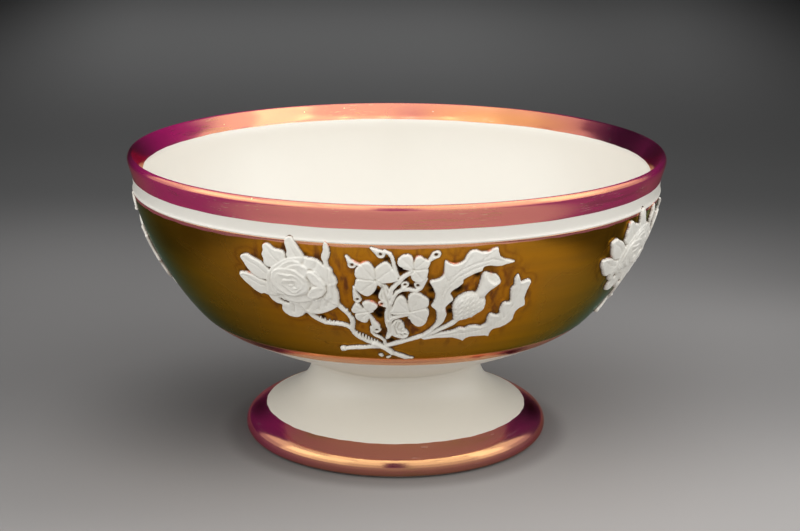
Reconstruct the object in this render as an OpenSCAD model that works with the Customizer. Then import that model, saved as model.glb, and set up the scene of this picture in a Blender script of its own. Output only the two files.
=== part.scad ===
// Footed slop bowl in cream earthenware with lustre bands and sprigged flower bouquets.
// Millimetres, +Z up, origin on the table under the middle of the foot. The front faces -Y.

/* [Bowl] */
// Outside diameter over the lip
rim_d = 165; // [140:1:200]
// Height from the table to the top of the lip
height = 91; // [80:1:110]
// Diameter where the belly turns under
turn_d = 122; // [100:1:136]
// Height of that turn above the table
turn_z = 42; // [36:1:50]
// Slope of the wall at that turn, in degrees from level
turn_slope = 42; // [35:1:52]
// Thickness of the thrown wall
wall = 4.2; // [3:0.1:6]
// Radius of the rounded lip
lip_r = 1.5; // [1:0.1:2]
// How far the lip stands out from the foot of the rim band
lip_out = 1.5; // [1:0.1:4]
// Height of the white band under the rim band
white_h = 4.1; // [2.5:0.1:7]
// How far the bead under the white band stands out
bead_out = 0.7; // [0.4:0.1:1.2]

/* [Foot] */
// Height of the pedestal foot
foot_h = 24.2; // [18:0.1:30]
// Diameter of the foot at its widest
foot_d = 95; // [80:1:110]
// Diameter of the neck under the bowl
neck_d = 53; // [44:1:64]
// Diameter of the ring the foot stands on
stand_d = 90; // [76:1:94]
// Width of that ring
stand_w = 4.5; // [3:0.1:7]
// Thickness of the foot's wall
foot_wall = 5; // [3:0.1:7]
// Height of the foot's rounded edge
edge_h = 9.2; // [6:0.1:12]
// Thickness of the slip that lutes the foot to the bowl
slip_t = 0.4; // [0.2:0.1:1]
// How far that slip squeezes out round the neck
slip_out = 0.5; // [0.2:0.1:1.2]

/* [Lustre] */
// Thickness that stands in for the fired-on lustre film
film = 0.2; // [0.1:0.05:0.4]
// Height of the lustre band outside the rim
rim_band_h = 6.5; // [4:0.1:10]
// Depth of the lustre band inside the rim
rim_band_in = 5; // [3:0.1:8]
// Width of the pink line above the belly ground
upper_line_w = 1.2; // [0.6:0.1:3]
// Width of the copper line under the belly ground
lower_line_w = 7; // [4:0.1:10]
// Width of the lustre band on top of the foot's edge
foot_band_w = 7; // [4:0.1:10]
// Gap between the foot's lustre and the table, along the edge
foot_band_gap = 1.5; // [0.8:0.1:3]

/* [Sprigs] */
// Angle round the bowl of each bouquet, the first one at the front
bouquet_angles = [0, 82, 169, 256]; // [0:1:360]
// Height of the stems above the ground
stem_relief = 0.9; // [0.5:0.1:1.2]
// Height of the leaves above the ground
leaf_relief = 1.1; // [0.6:0.1:1.6]
// Height of the rose's heart above the ground
rose_relief = 2.5; // [1.6:0.1:3.5]
// Height of the thistle's bulb above the ground
bulb_relief = 2.2; // [1.4:0.1:3]
// Height of the rose's stem where it lies over the thistle's
crossing_relief = 1.7; // [1.5:0.1:2.2]

/* [Hidden] */
kinds = ["rose", "shamrock", "thistle"];
sprig_nodes = [for (kind = kinds) for (i = [1:len(bouquet_angles)]) str(kind, "_sprig_", i)];

cream = "#e6e1d5";
pink_lustre = "#a85e58";
copper_lustre = "#bd8762";
bronze_lustre = "#7e5a22";

// Inner control points of each drawn curve, as shares of the box between its ends
under_share = [0.33, 0.36];
belly_share = [0.92, 0.62];
flare_shares = [[0, 0.55], [0.5, 0.8]];
sweep_shares = [[0, 0.52], [0.44, 0.79]];
edge_top_shares = [[0.6, 0.3], [1, 0.5]];
edge_low_shares = [[0, 0.45], [0.3, 0.82]];
// Control arms at the turn, as shares of the straight line between a curve's ends
under_arm = 0.26;
belly_arm = 0.16;
// Angles at which the bead ends, and the lip begins and ends
bead_to = 60;
lip_from = -20;
lip_to = 140;
// Points along each drawn curve, and flats round each turned surface
steps = 16;
flats = 180;
// The same where a sprig's back is fitted to the wall
fit_steps = 7;
fit_flats = 72;
// How far a sprig's pads start below the ground, before they are fitted to it
sink = 0.8;
// How much of its half width a pad draws in from the ground to its top
pad_slope = 0.4;
// Half width from which a pad has its full relief, and the share of it that the thinnest keeps
full_pad = 1;
thin_share = 0.5;
// Half width above which a pad has more sides, and the sides of each
wide_pad = 2;
wide_sides = 8;
thin_sides = 5;
// Step over which the slope of the ground is read
slope_step = 0.5;
// Height of the bouquet in its drawing, which is scaled to the belly
drawn_h = 43.4;
// Height on that drawing at which its widths are true
drawn_datum = 19;

function bezier(p, t) =
    pow(1 - t, 3) * p[0] + 3 * t * pow(1 - t, 2) * p[1] + 3 * t * t * (1 - t) * p[2] + pow(t, 3) * p[3];
function curve(p, from = 0, to = 1, n = steps) = [for (i = [0:n]) bezier(p, from + (to - from) * i / n)];
function arc(centre, r, from, to, n = steps) =
    [for (i = [0:n]) let (a = from + (to - from) * i / n) centre + r * [cos(a), sin(a)]];
// Point inside the box from a to b, by its share of each side
function between(a, b, share) = [a[0] + (b[0] - a[0]) * share[0], a[1] + (b[1] - a[1]) * share[1]];
// Curve from a to b with both inner control points given as shares
function drawn_curve(a, b, shares) = [a, between(a, b, shares[0]), between(a, b, shares[1]), b];
// Where a curve is the given length short of its end
function short_of_end(p, length) = 1 - length / (3 * norm(p[3] - p[2]));
function tail(list) = [for (i = [1:len(list) - 1]) list[i]];
function reversed(list) = [for (i = [len(list) - 1:-1:0]) list[i]];
// Direction square to a path, on its right as it runs
function normal(path, i) =
    let (d = path[min(i + 1, len(path) - 1)] - path[max(i - 1, 0)]) [d[1], -d[0]] / norm(d);
function shifted(path, d) = [for (i = [0:len(path) - 1]) path[i] + d * normal(path, i)];

// Outside of the bowl, from its seat on the foot up to the lip
seat_z = foot_h + slip_t;
seat = [neck_d / 2, seat_z];
turn = [turn_d / 2, turn_z];
band_foot = [rim_d / 2 - lip_out, height - rim_band_h];
belly_top = [band_foot[0] - bead_out / 2, band_foot[1] - white_h];
along_turn = [cos(turn_slope), sin(turn_slope)];
under = [
    seat,
    between(seat, turn, under_share),
    turn - under_arm * norm(turn - seat) * along_turn,
    turn];
belly = [
    turn,
    turn + belly_arm * norm(belly_top - turn) * along_turn,
    between(turn, belly_top, belly_share),
    belly_top];
under_split = short_of_end(under, lower_line_w);
belly_split = short_of_end(belly, upper_line_w);
under_white = curve(under, 0, under_split);
under_line = curve(under, under_split, 1);
belly_ground = curve(belly, 0, belly_split);
belly_line = curve(belly, belly_split, 1);
bead_centre = belly_top + [0, bead_out];
bead = arc(bead_centre, bead_out, -90, bead_to);
lip_centre = [rim_d / 2 - lip_r, height - lip_r];
lip_low = lip_centre + lip_r * [cos(lip_from), sin(lip_from)];
rim_flare = curve(drawn_curve(band_foot, lip_low, flare_shares));
lip = arc(lip_centre, lip_r, lip_from, lip_to);

// Inside of the bowl, from the lip down to the floor
belly_path = concat(belly_ground, tail(belly_line));
inner_wall = reversed(shifted(concat(belly_path, [band_foot]), -wall));
inner_floor = reversed(shifted(concat(under_white, tail(under_line)), -wall));
lip_in = lip[steps];
throat = inner_wall[0];
band_share = (rim_band_in - height + lip_in[1]) / (lip_in[1] - throat[1]);
band_low = between(lip_in, throat, [band_share, band_share]);
floor_z = seat_z + wall;

// Lustre over the rim, from the foot of its band outside to its lower edge inside
rim_path = concat(rim_flare, tail(lip), [band_low]);

// Outside of the foot, from the neck down to the ring it stands on
foot_r = foot_d / 2;
neck = [neck_d / 2, foot_h];
band_edge = [foot_r - foot_band_w, edge_h];
edge_mid = [foot_r, edge_h / 2];
stand = [stand_d / 2, 0];
foot_sweep = curve(drawn_curve(neck, band_edge, sweep_shares));
edge_top = curve(drawn_curve(band_edge, edge_mid, edge_top_shares));
edge_low = drawn_curve(edge_mid, stand, edge_low_shares);
foot_path = concat(edge_top, tail(curve(edge_low, 0, short_of_end(edge_low, foot_band_gap))));
foot_out = concat(foot_sweep, tail(edge_top), tail(curve(edge_low)));
hollow = concat([stand - [stand_w, 0]], reversed(shifted(foot_sweep, foot_wall)));

// Unrolled ground that the sprigs lie on: radius and height by the distance up from the turn
ground = shifted(belly_path, film);
ground_up = [for (i = 0, up = 0; i < len(ground);
    up = up + (i + 1 < len(ground) ? norm(ground[i + 1] - ground[i]) : 0), i = i + 1) up];
ground_r = [for (i = [0:len(ground) - 1]) [ground_up[i], ground[i][0]]];
ground_z = [for (i = [0:len(ground) - 1]) [ground_up[i], ground[i][1]]];
ground_len = ground_up[len(ground) - 1];
drawn = ground_len / drawn_h;
datum_r = lookup(drawn_datum * drawn, ground_r);

// Point of the drawing, in mm across and up, laid on the ground and lifted off it
function on_ground(across, up, lift) =
    let (
        s = up * drawn,
        r = lookup(s, ground_r),
        z = lookup(s, ground_z),
        run = [
            lookup(s + slope_step, ground_r) - lookup(s - slope_step, ground_r),
            lookup(s + slope_step, ground_z) - lookup(s - slope_step, ground_z)],
        out = [run[1], -run[0]] / norm(run),
        turned = across * drawn / datum_r * 180 / PI,
        far = r + lift * out[0])
    [far * sin(turned), -far * cos(turned), z + lift * out[1]];

// Outline of the wall that the sprigs' backs are fitted to
fit_wall = shifted(concat(
    curve(under, under_split, 1, fit_steps),
    tail(curve(belly, 0, 1, fit_steps)),
    tail(arc(bead_centre, bead_out, -90, bead_to, fit_steps))), film);

// Sprig drawings: each stroke is a list of [across, up, half width]
rose_petals = [[-22.5, 34.3, 4.5], [-18.6, 32.2, 3.7], [-18.4, 26.6, 3.7], [-20.6, 23.2, 3.5],
    [-25.5, 22.8, 3.8], [-28.6, 20.1, 3.2], [-32, 25, 3.2], [-31.5, 31, 4], [-27.5, 34, 4.2]];
rose_heart = [-26.5, 29, 2.6];
rose_heart_ring = 4.2;
rose_heart_petals = 6;
rose_core = [-25, 28.6, 8];
rose_leaves = [
    [[-42.3, 31, 0.3], [-40, 29.2, 1.6], [-37, 28, 2.6], [-33.5, 28, 3]],
    [[-41, 36.3, 0.4], [-39, 35.3, 1.5], [-36.5, 33.5, 2.3], [-33.5, 31.5, 3]],
    [[-33.3, 41.3, 0.4], [-32, 39.2, 1.9], [-30.3, 37, 2.9], [-28.5, 34, 3]],
    [[-26.4, 42.8, 0.4], [-26, 41.2, 1.3], [-25, 39, 2], [-24.5, 36.5, 2.2]],
    [[-16.9, 42.8, 0.3], [-17, 41.3, 0.8], [-17.1, 40, 1.1], [-17, 38, 0.7], [-17, 35.5, 0.7]]];
rose_branches = [
    [[-15.8, 24, 0.8], [-13.4, 20.5, 0.8], [-12, 18, 0.8], [-12, 15.5, 0.8], [-12.3, 13.5, 0.8]],
    [[-24.5, 20, 0.9], [-22, 17.2, 0.9], [-19.5, 16, 0.9], [-15.5, 15.7, 0.9], [-13.3, 14.8, 0.9],
     [-12, 12.6, 0.9], [-10.3, 10.6, 0.9], [-7.5, 8.8, 0.8]],
    [[-0.8, 3.6, 0.8], [1.5, 2.1, 1], [4.5, 1.2, 0.9]]];
rose_crossing = [[-7.5, 8.8, 0.8], [-4.2, 6.9, 0.9], [-0.8, 3.6, 0.8]];
shamrock_leaves = [
    [[-5, 32, 0.8], [[-7.4, 34.9, 2.9], [-2.4, 35.2, 2.9], [-7.4, 30.2, 2.8]]],
    [[4.5, 35.7, 0.7], [[2.5, 38.6, 2], [6.5, 38, 1.9], [6, 33.6, 2]]],
    [[3.6, 21.5, 0.8], [[1, 24.2, 2.6], [6, 25.4, 2.8], [6.3, 19, 2.6]]],
    [[-7.5, 21, 0.7], [[-9.8, 22, 1.9], [-6.8, 23.4, 1.9], [-9, 19.2, 1.9]]]];
shamrock_stems = [
    [[-2.7, 11, 0.8], [-2, 14, 0.8], [-2, 19, 0.8], [-1.8, 23, 0.8], [-2, 26, 0.8], [-4.6, 31.5, 0.7]],
    [[-1.7, 26, 0.7], [-1.3, 29.5, 0.7], [0.7, 33, 0.7], [4, 35.4, 0.6]],
    [[-1.2, 27, 0.6], [1, 29.2, 0.6], [3.5, 29.4, 0.6], [5.6, 31, 1.1], [6, 33, 0.8]],
    [[-1.8, 17.2, 0.7], [0, 19.4, 0.7], [3.3, 21.2, 0.7]],
    [[-5.6, 42, 0.5], [-3.6, 40.6, 1.2], [-1.4, 40, 0.6], [-0.6, 37, 0.6], [0.8, 33.2, 0.6]],
    [[-11.7, 39.7, 0.3], [-10.7, 37.4, 1.1], [-9, 36.5, 1]],
    [[9.8, 40.4, 1.2], [6.8, 38.2, 0.9]],
    [[2.3, 31.2, 1.1], [1.5, 29.4, 0.6]],
    [[-10.2, 30, 0.6], [-10.3, 27.6, 0.5], [-9.9, 25.7, 1.1], [-9.8, 23, 0.8]],
    [[-3.8, 24.3, 0.9], [-1.9, 23.6, 0.6]],
    [[-7, 20, 0.6], [-6.5, 17, 0.6], [-6.4, 13.6, 0.6], [-5, 11.6, 0.6]],
    [[-7, 20, 0.6], [-4.9, 17, 0.7], [-5.3, 14, 1.1]],
    [[0.5, 18.2, 0.7], [-0.2, 16, 1], [1.6, 12.8, 1.9], [-2, 13.5, 0.7]]];
thistle_stem = [[17.5, 18.5, 1.2], [15.5, 16, 0.8], [12, 13.7, 0.8], [7.5, 11.2, 0.8], [3, 9.5, 0.7],
    [-0.5, 8, 0.7], [-4, 6.9, 0.7], [-9, 6.1, 0.7], [-14, 5.3, 0.8], [-16.4, 4.8, 1]];
thistle_bulb = [[19.8, 22.4, 4.7], [21.6, 25.6, 2]];
thistle_crown = [[21.6, 25.6, 2], [22.6, 28, 1.3], [24.4, 31.2, 2.7]];
thistle_ribs = [
    [[8.6, 12.3, 0.6], [10.8, 15, 0.8], [12.4, 18, 1.1], [12.3, 21, 1.2], [12, 24, 1.8], [12.3, 28, 2.2],
     [14, 33, 2.4], [17.5, 36.2, 2.3], [22.5, 38.4, 2.1], [25.5, 38, 1.3], [30, 36.9, 0.3]],
    [[8.5, 10.8, 0.4], [12, 11.4, 0.7], [16, 12, 1.3], [20, 12.2, 1.7], [25, 12.4, 2], [29, 14.4, 2.2],
     [31.7, 18, 2.6], [33, 23, 2.4], [33.5, 27, 2.1]]];
thistle_teeth = [
    [[12, 23.6, 1.4], [9.6, 23.4, 0.3]], [[11.8, 30.5, 1.6], [8.8, 32.2, 0.3]],
    [[13.8, 35, 1.7], [12.3, 38.3, 0.3]], [[18, 37.6, 1.7], [19.3, 41.1, 0.3]],
    [[23.3, 39, 1.5], [25, 41.3, 0.3]], [[18, 12.6, 1], [18.3, 14.2, 0.3]],
    [[22.5, 12.8, 1.2], [23, 14.8, 0.3]], [[28, 15.4, 1.5], [26.8, 18.7, 0.3]],
    [[31, 19.5, 1.6], [30, 22.5, 0.3]], [[33, 26.5, 1.7], [31.8, 32.2, 0.3]],
    [[34, 27, 1.5], [35.9, 29.5, 0.4]], [[34, 22, 1.5], [36.5, 21.2, 0.3]],
    [[27.3, 12.6, 1.3], [28.4, 9.9, 0.3]], [[20.8, 11.6, 1], [20.4, 8.6, 0.3]]];

// Ring of film over a path
module film_over(path) {
    rotate_extrude($fn = flats) polygon(concat(path, reversed(shifted(path, film))));
}

// Corner points of one low pad of a stroke
function pad_points(p, relief) =
    let (
        sides = p[2] > wide_pad ? wide_sides : thin_sides,
        top = relief * min(1, thin_share + (1 - thin_share) * p[2] / full_pad))
    [for (layer = [[1 + pad_slope * sink / top, -sink], [1 - pad_slope, top]]) for (i = [1:sides])
        on_ground(
            p[0] + p[2] * layer[0] * cos(360 * i / sides),
            p[1] + p[2] * layer[0] * sin(360 * i / sides),
            layer[1])];

// Clay pressed along one stroke
module stroke(points, relief) {
    for (i = [0:max(0, len(points) - 2)]) {
        next = min(i + 1, len(points) - 1);
        corners = concat(pad_points(points[i], relief), pad_points(points[next], relief));
        hull() polyhedron(corners, [[for (j = [0:len(corners) - 1]) j]]);
    }
}

// Sprig with its back fitted to the ground, at the place of one bouquet
module sprig(bouquet) {
    color(cream) rotate([0, 0, bouquet_angles[bouquet - 1]]) difference() {
        children();
        rotate_extrude($fn = fit_flats) polygon(concat(
            [[0, fit_wall[0][1]]],
            [for (p = fit_wall) [p[0] / cos(180 / fit_flats), p[1]]],
            [[0, fit_wall[len(fit_wall) - 1][1]]]));
    }
}

module bowl_body() {
    color(cream) rotate_extrude($fn = flats) polygon(concat(
        [[0, seat_z]],
        under_white, tail(under_line), tail(belly_path), tail(bead),
        rim_flare, tail(lip), [band_low],
        inner_wall, tail(inner_floor),
        [[seat[0] - wall, floor_z], [0, floor_z]]));
}

module pedestal_foot() {
    color(cream) rotate_extrude($fn = flats) polygon(concat(foot_out, hollow));
}

module luting_slip() {
    color(cream) rotate_extrude($fn = flats) polygon([
        [neck_d / 2 - foot_wall, foot_h],
        [neck_d / 2, foot_h],
        [neck_d / 2 + slip_out, foot_h + slip_t / 2],
        [neck_d / 2, seat_z],
        [neck_d / 2 - foot_wall, seat_z]]);
}

module rim_lustre_band() {
    color(pink_lustre) film_over(rim_path);
}

module belly_upper_line() {
    color(pink_lustre) film_over(belly_line);
}

module belly_lustre_ground() {
    color(bronze_lustre) film_over(belly_ground);
}

module belly_lower_line() {
    color(copper_lustre) film_over(under_line);
}

module foot_lustre_band() {
    color(pink_lustre) film_over(reversed(foot_path));
}

module rose_sprig(bouquet) {
    sprig(bouquet) difference() {
        union() {
            for (petal = concat([rose_core], rose_petals)) stroke([petal], leaf_relief);
            for (i = [1:rose_heart_petals]) {
                angle = 360 * i / rose_heart_petals;
                out = rose_heart_ring * [cos(angle), sin(angle), 0];
                stroke([rose_heart + out], (leaf_relief + rose_relief) / 2);
            }
            stroke([rose_heart], rose_relief);
            for (leaf = rose_leaves) stroke(leaf, leaf_relief);
            for (branch = rose_branches) stroke(branch, stem_relief);
            stroke(rose_crossing, crossing_relief);
        }
        stroke(thistle_stem, stem_relief);
    }
}

module shamrock_sprig(bouquet) {
    sprig(bouquet) {
        for (leaf = shamrock_leaves) for (lobe = leaf[1]) stroke([leaf[0], lobe], leaf_relief);
        for (stem = shamrock_stems) stroke(stem, stem_relief);
    }
}

module thistle_sprig(bouquet) {
    sprig(bouquet) {
        stroke(thistle_stem, stem_relief);
        stroke(thistle_bulb, bulb_relief);
        stroke(thistle_crown, leaf_relief);
        for (rib = concat(thistle_ribs, thistle_teeth)) stroke(rib, leaf_relief);
    }
}

bowl_body();
pedestal_foot();
luting_slip();
rim_lustre_band();
belly_upper_line();
belly_lustre_ground();
belly_lower_line();
foot_lustre_band();
for (i = [1:len(bouquet_angles)]) {
    rose_sprig(i);
    shamrock_sprig(i);
    thistle_sprig(i);
}
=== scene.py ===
"""Footed slop bowl: cream glaze, lustre bands and pressed clay bouquets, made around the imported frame."""
import math

import bpy
import numpy as np
from mathutils import Matrix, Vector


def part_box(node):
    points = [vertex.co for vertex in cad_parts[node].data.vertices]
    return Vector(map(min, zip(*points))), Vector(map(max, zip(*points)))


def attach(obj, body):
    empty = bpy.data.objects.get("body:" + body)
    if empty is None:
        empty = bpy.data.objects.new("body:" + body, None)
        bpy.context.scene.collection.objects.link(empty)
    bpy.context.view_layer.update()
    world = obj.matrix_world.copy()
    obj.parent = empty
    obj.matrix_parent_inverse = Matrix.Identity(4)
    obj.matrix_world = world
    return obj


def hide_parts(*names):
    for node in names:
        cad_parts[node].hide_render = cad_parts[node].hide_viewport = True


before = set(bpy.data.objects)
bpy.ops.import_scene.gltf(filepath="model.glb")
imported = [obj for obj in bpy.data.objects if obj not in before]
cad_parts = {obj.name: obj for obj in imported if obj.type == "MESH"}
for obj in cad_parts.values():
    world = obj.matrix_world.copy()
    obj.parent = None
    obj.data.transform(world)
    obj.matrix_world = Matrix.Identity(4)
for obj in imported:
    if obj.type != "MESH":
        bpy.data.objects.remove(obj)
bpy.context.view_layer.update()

# Sizes of the clay body in mm, as radius and height: the rim and the seat come from the frame
MM = 0.001
body_low, body_high = (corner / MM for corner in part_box("bowl_body"))
rim_r = body_high.x
height = body_high.z
seat = np.array([26.5, body_low.z])
turn = np.array([61.0, 42.0])
turn_slope = 42
wall = 4.2
band_foot = np.array([rim_r - 1.5, height - 6.8])
belly_top = band_foot - [0.35, 4.3]
bead_r = 0.42
lip_low = np.array([rim_r - 0.12, height - 1.6])
lip_turn_r = 1.2
lip_slope_r = 2.45
lip_edge_r = 0.5
# Directions that the bead and the lip face in turn, in degrees up from straight outward
bead_faces = (-90, -10, 40)
lip_faces = (-8, 14, 39, 95, 150)
throat = np.array([77.2, 84.5])
floor_edge = np.array([24.5, seat[1] + wall])
well_edge = 8.0
well_depth = 0.6

# Sizes of the foot in mm
foot_r = 47.5
neck = np.array([seat[0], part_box("pedestal_foot")[1].z / MM])
brim = np.array([40.5, 9.2])
edge_mid = np.array([foot_r, 3.0])
edge_r = 4.0
edge_turn = 52
brim_slope = 24
stand = np.array([45.0, 0.0])
stand_w = 4.5
foot_wall = 5.0

# Fillet of slip in mm: how far it reaches up and down, stands proud, bulges and runs back into the joint
slip_reach = 0.8
slip_proud = 0.04
slip_bulge = 0.35
slip_back = 1.0

# Lustre films in mm: how far each lies proud of the glaze, and how deep its back is sunk
film_proud = 0.05
film_sunk = 0.15
line_proud = 0.08
# How wide the lines are, how far the rim's band runs inside, and where the films start and stop
upper_line_w = 0.9
upper_line_lap = 0.15
lower_line_w = 5.9
lower_line_gap = 0.1
ground_low_lap = 1.0
ground_top_gap = 0.4
rim_band_in = 5.8
foot_band_gap = 1.5
foot_band_top_gap = 0.7
# How sharply a film's depth, and the shade painted with it, keeps to the left and the right of the bowl
side_keeping = 8

# Fineness: points on a drawn span, rows along each piece's outline, and steps round the bowl
span_points = 81
body_rows = (26, 40, 8, 8, 10, 12, 6, 10, 6, 6, 8, 30, 22, 8)
body_steps = 256
foot_rows = 90
foot_hollow_rows = 24
foot_steps = 224
slip_rows = 12
slip_steps = 200
film_back_rows = 7
# Points closer than this in metres are one, and edges flatter than this in degrees look round
merge_gap = 1e-6
flat_gap = 1e-7
round_under = 35

# Bouquets: degrees round the bowl from the front, and the radius at which the drawing's widths are true
bouquet_angles = (0, 82, 169, 256)
drawn_r = 72.0
# Fineness of the pressed clay, its thickness, and the fillet of lustre that runs up against it
clay_grid = 0.14
clay_back = 0.3
fillet_h = 0.06
fillet_reach = 0.18
fillet_margin = 0.35
# How far the hand that pressed the clay pushed its outlines about, and how uneven it left the top
hand_wobble = 0.075
hand_lumps = 0.05
# Leaves and petals: how high their rims and lips are, and how wide their round edges and hollows
leaf_trim = 0.05
leaf_edge_w = 0.25
leaf_rim = 0.07
leaf_rim_w = 0.7
petal_lip = 0.34
petal_lip_w = 0.3
petal_dish = 0.16
petal_dish_w = 0.9
# Stems, ribbons and buds: how wide their round edges are, and the furrow down a ribbon
stem_edge_w = 0.6
ribbon_edge_w = 0.35
ribbon_furrow = 0.15
ribbon_furrow_w = 0.22
bud_tip_r = 0.35
bud_edge_w = 0.4
bud_eye_r = 0.62
bud_eye_lift = 0.4
# A cut grows shallower where the clay is thinner than this
thin_clay = 0.5
# Heights of the clay over the ground
rose_leaf_h = 0.9
bloom_h = 0.85
heart_h = 1.78
rose_stem_h = 0.8
rose_crossing_h = 1.4
rose_tail_end_h = 0.75
thorn_h = 0.75
stray_slip_h = 0.5
shamrock_stem_h = 0.85
shamrock_leaf_h = 0.95
tendril_h = 0.7
bud_side_h = 0.8
thistle_leaf_h = 0.95
thistle_stem_h = 0.85
# Half widths of stems
rose_tail_r = 0.75
rose_tail_end_r = 0.8
tendril_r = 0.5
leaflet_rib_r = 0.45
thistle_stem_r = 0.75
thistle_stem_end_r = 0.65
thistle_knob_r = 0.9
# Thorns: where each starts and ends under its stem, and its half width at both ends
thorn_start, thorn_end = np.array([0.0, -0.3]), np.array([0.0, -1.6])
thorn_root_r, thorn_tip_r = 0.2, 0.38
# Cuts in the clay: the depth and half width of each, and the height at which the drawing shows it
rose_vein_cut = (0.16, 0.25, 1.0)
petal_fold_cut = (0.28, 0.4, 1.1)
rose_crease_cut = (0.6, 0.24, 1.3)
rose_slit_cut = (1.7, 0.45, 0.9)
flute_cut = (0.6, 0.22, 0.8)
curl_cut = (0.7, 0.22, 0.8)
leaflet_middle_cut = (0.15, 0.2, 0.8)
leaflet_side_cut = (0.22, 0.16, 0.8)
thistle_vein_cut = (0.18, 0.24, 0.8)
# How high the lustre runs up the clay's edge and its painted red highlights reach, each with the width of
# its fade
lustre_up, lustre_fade = 0.26, 0.1
glint_up, glint_fade = 0.7, 0.3
# Clay this far below what is round it starts to look shaded, and over this depth gets darkest
shade_from, shade_over = 0.05, 0.34
# How far from the clay the lustre left its tide line as it dried, and the line's half width
tide_line = 1.9
tide_w = 0.3
# Pools of lustre are worked out on a drawing of the ground with these corners and cells, in mm
pool_low, pool_high = np.array([-47.0, -4.0]), np.array([41.0, 48.0])
pool_cell = 0.25
# Lustre is shut in where clay within so many cells takes this share, and more so over the next share
shut_in_reach = 6
shut_in_from, shut_in_over = 0.33, 0.14
# How far off the clay the ground is painted dark, as lustre held there and as painted shade, how wide a
# nook's dark patch is by its reach, and how dark these patches are
beside_w = 0.6
nook_spread = 1.25
shut_in_dark, beside_dark = 0.55, 0.5
# Smudges round the clay: how many cells they reach, and how strong they are
smudge_reach = 14
smudge_gain = 2.2
# Camera: where it stands, in metres, its lens and sensor in mm, and its tilt and roll in degrees
eye = np.array([0.00117, -0.5259, 0.1922])
lens_length = 77.9
sensor_w = 36.0
camera_tilt = 75.18
camera_roll = 0.31
# Studio lights: how far off, what they face, in metres, and how bright their faces are
light_distance = 0.95
light_aim = np.array([0, 0, 0.06])
bank_radiance = 1.53
# Panels of light on each side: degrees round from the camera, and the shares of the middle and high rows
light_panels = {
    "left": ((-106, 0.7, 0.6), (-78, 1.55, 0.68), (-50, 1.32, 1.1), (-22, 0.97, 1.2)),
    "right": ((22, 0.9, 1.12), (50, 0.95, 1.12), (78, 1.6, 1.5), (106, 0.8, 0.84))}
panel_w = 28.5
# Rows of panels: how many degrees up the middle of each is, and how many degrees tall
light_rows = {"low": (6, 19), "middle": (26, 21.5), "high": (48.5, 24)}
low_share = 0.55
# Light over the camera, by its width in metres, and the round one over the bowl, by degrees across
over_camera_w = 0.2
over_bowl_w = 59
over_bowl_share = 0.83
floor_w = 9.0
# Dim light from all round
studio_tint = (0.95, 0.97, 1.0, 1)
studio_glow = 0.02
# Distances in the drawing are measured no further off than this, in mm
far_off = 6.0
# Short lines between two points of a rounded outline
outline_steps = 4


# Drawn lines

def between(a, b, share_r, share_z):
    """Point in the box from a to b, by its share of each side."""
    return np.array([a[0] + (b[0] - a[0]) * share_r, a[1] + (b[1] - a[1]) * share_z])


def facing(degrees):
    """Direction in the turning plane, up from straight outward."""
    return np.array([math.cos(math.radians(degrees)), math.sin(math.radians(degrees))])


def arc(centre, r, start, stop):
    """Round stretch between two angles in degrees, under a quarter turn."""
    a, b = math.radians(start), math.radians(stop)
    arm = 4 / 3 * math.tan((b - a) / 4) * r
    first = centre + r * np.array([math.cos(a), math.sin(a)])
    last = centre + r * np.array([math.cos(b), math.sin(b)])
    lead = arm * np.array([-math.sin(a), math.cos(a)])
    trail = arm * np.array([-math.sin(b), math.cos(b)])
    return [first, first + lead, last - trail, last]


def round_on(start, r, facing_first, facing_last):
    """Round stretch that goes on from a point, by the directions that it faces in degrees."""
    return arc(start - r * facing(facing_first), r, facing_first, facing_last)


class Path:
    """Line in the turning plane, walked by its length in mm.

    Each span is a start, two handles and an end.
    """

    def __init__(self, *spans):
        t = np.linspace(0, 1, span_points)[:, None]
        points, self.marks, total = [], [0.0], 0.0
        for start, lead, trail, end in spans:
            drawn = ((1 - t) ** 3 * start + 3 * t * (1 - t) ** 2 * lead
                     + 3 * t ** 2 * (1 - t) * trail + t ** 3 * end)
            points.append(drawn if not points else drawn[1:])
            total += np.linalg.norm(np.diff(drawn, axis=0), axis=1).sum()
            self.marks.append(total)
        self.points = np.concatenate(points)
        steps = np.linalg.norm(np.diff(self.points, axis=0), axis=1)
        self.walked = np.concatenate([[0], np.cumsum(steps)])
        slope = np.gradient(self.points, self.walked, axis=0)
        self.normals = np.stack([slope[:, 1], -slope[:, 0]], 1)
        self.normals /= np.linalg.norm(self.normals, axis=1)[:, None]

    def at(self, along, lift=0.0):
        """Radius and height at a length along the line, lifted off it on its outer side."""
        r, z, out_r, out_z = (np.interp(along, self.walked, column)
                              for column in (*self.points.T, *self.normals.T))
        return r + lift * out_r, z + lift * out_z


along_turn = facing(turn_slope)
under = [seat, between(seat, turn, 0.33, 0.36),
         turn - 0.26 * np.linalg.norm(turn - seat) * along_turn, turn]
belly = [turn, turn + 0.16 * np.linalg.norm(belly_top - turn) * along_turn,
         between(turn, belly_top, 0.92, 0.62), belly_top]
bead_centre = belly_top + [0, bead_r]
bead_low = arc(bead_centre, bead_r, *bead_faces[:2])
bead_high = arc(bead_centre, bead_r, *bead_faces[1:])
bead_end = bead_high[3]
white_band = [bead_end, bead_end + [-0.25, 0.5], band_foot - [0.12, 1.6], band_foot]
lip_turn = round_on(lip_low, lip_turn_r, *lip_faces[0:2])
lip_slope = round_on(lip_turn[3], lip_slope_r, *lip_faces[1:3])
lip_edge = round_on(lip_slope[3], lip_edge_r, *lip_faces[2:4])
lip_in = round_on(lip_edge[3], lip_edge_r, *lip_faces[3:5])
rim_flare = [band_foot, between(band_foot, lip_low, 0.28, 0.36), lip_low - [0.2, 1.42], lip_low]
mouth = [lip_in[3], between(lip_in[3], throat, 0.45, 0.4), between(lip_in[3], throat, 0.9, 0.72), throat]
inner_turn = turn + wall * facing(turn_slope + 90)
inner_belly = [throat, throat - [1.7, 16.5], inner_turn + 6.2 * along_turn, inner_turn]
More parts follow.
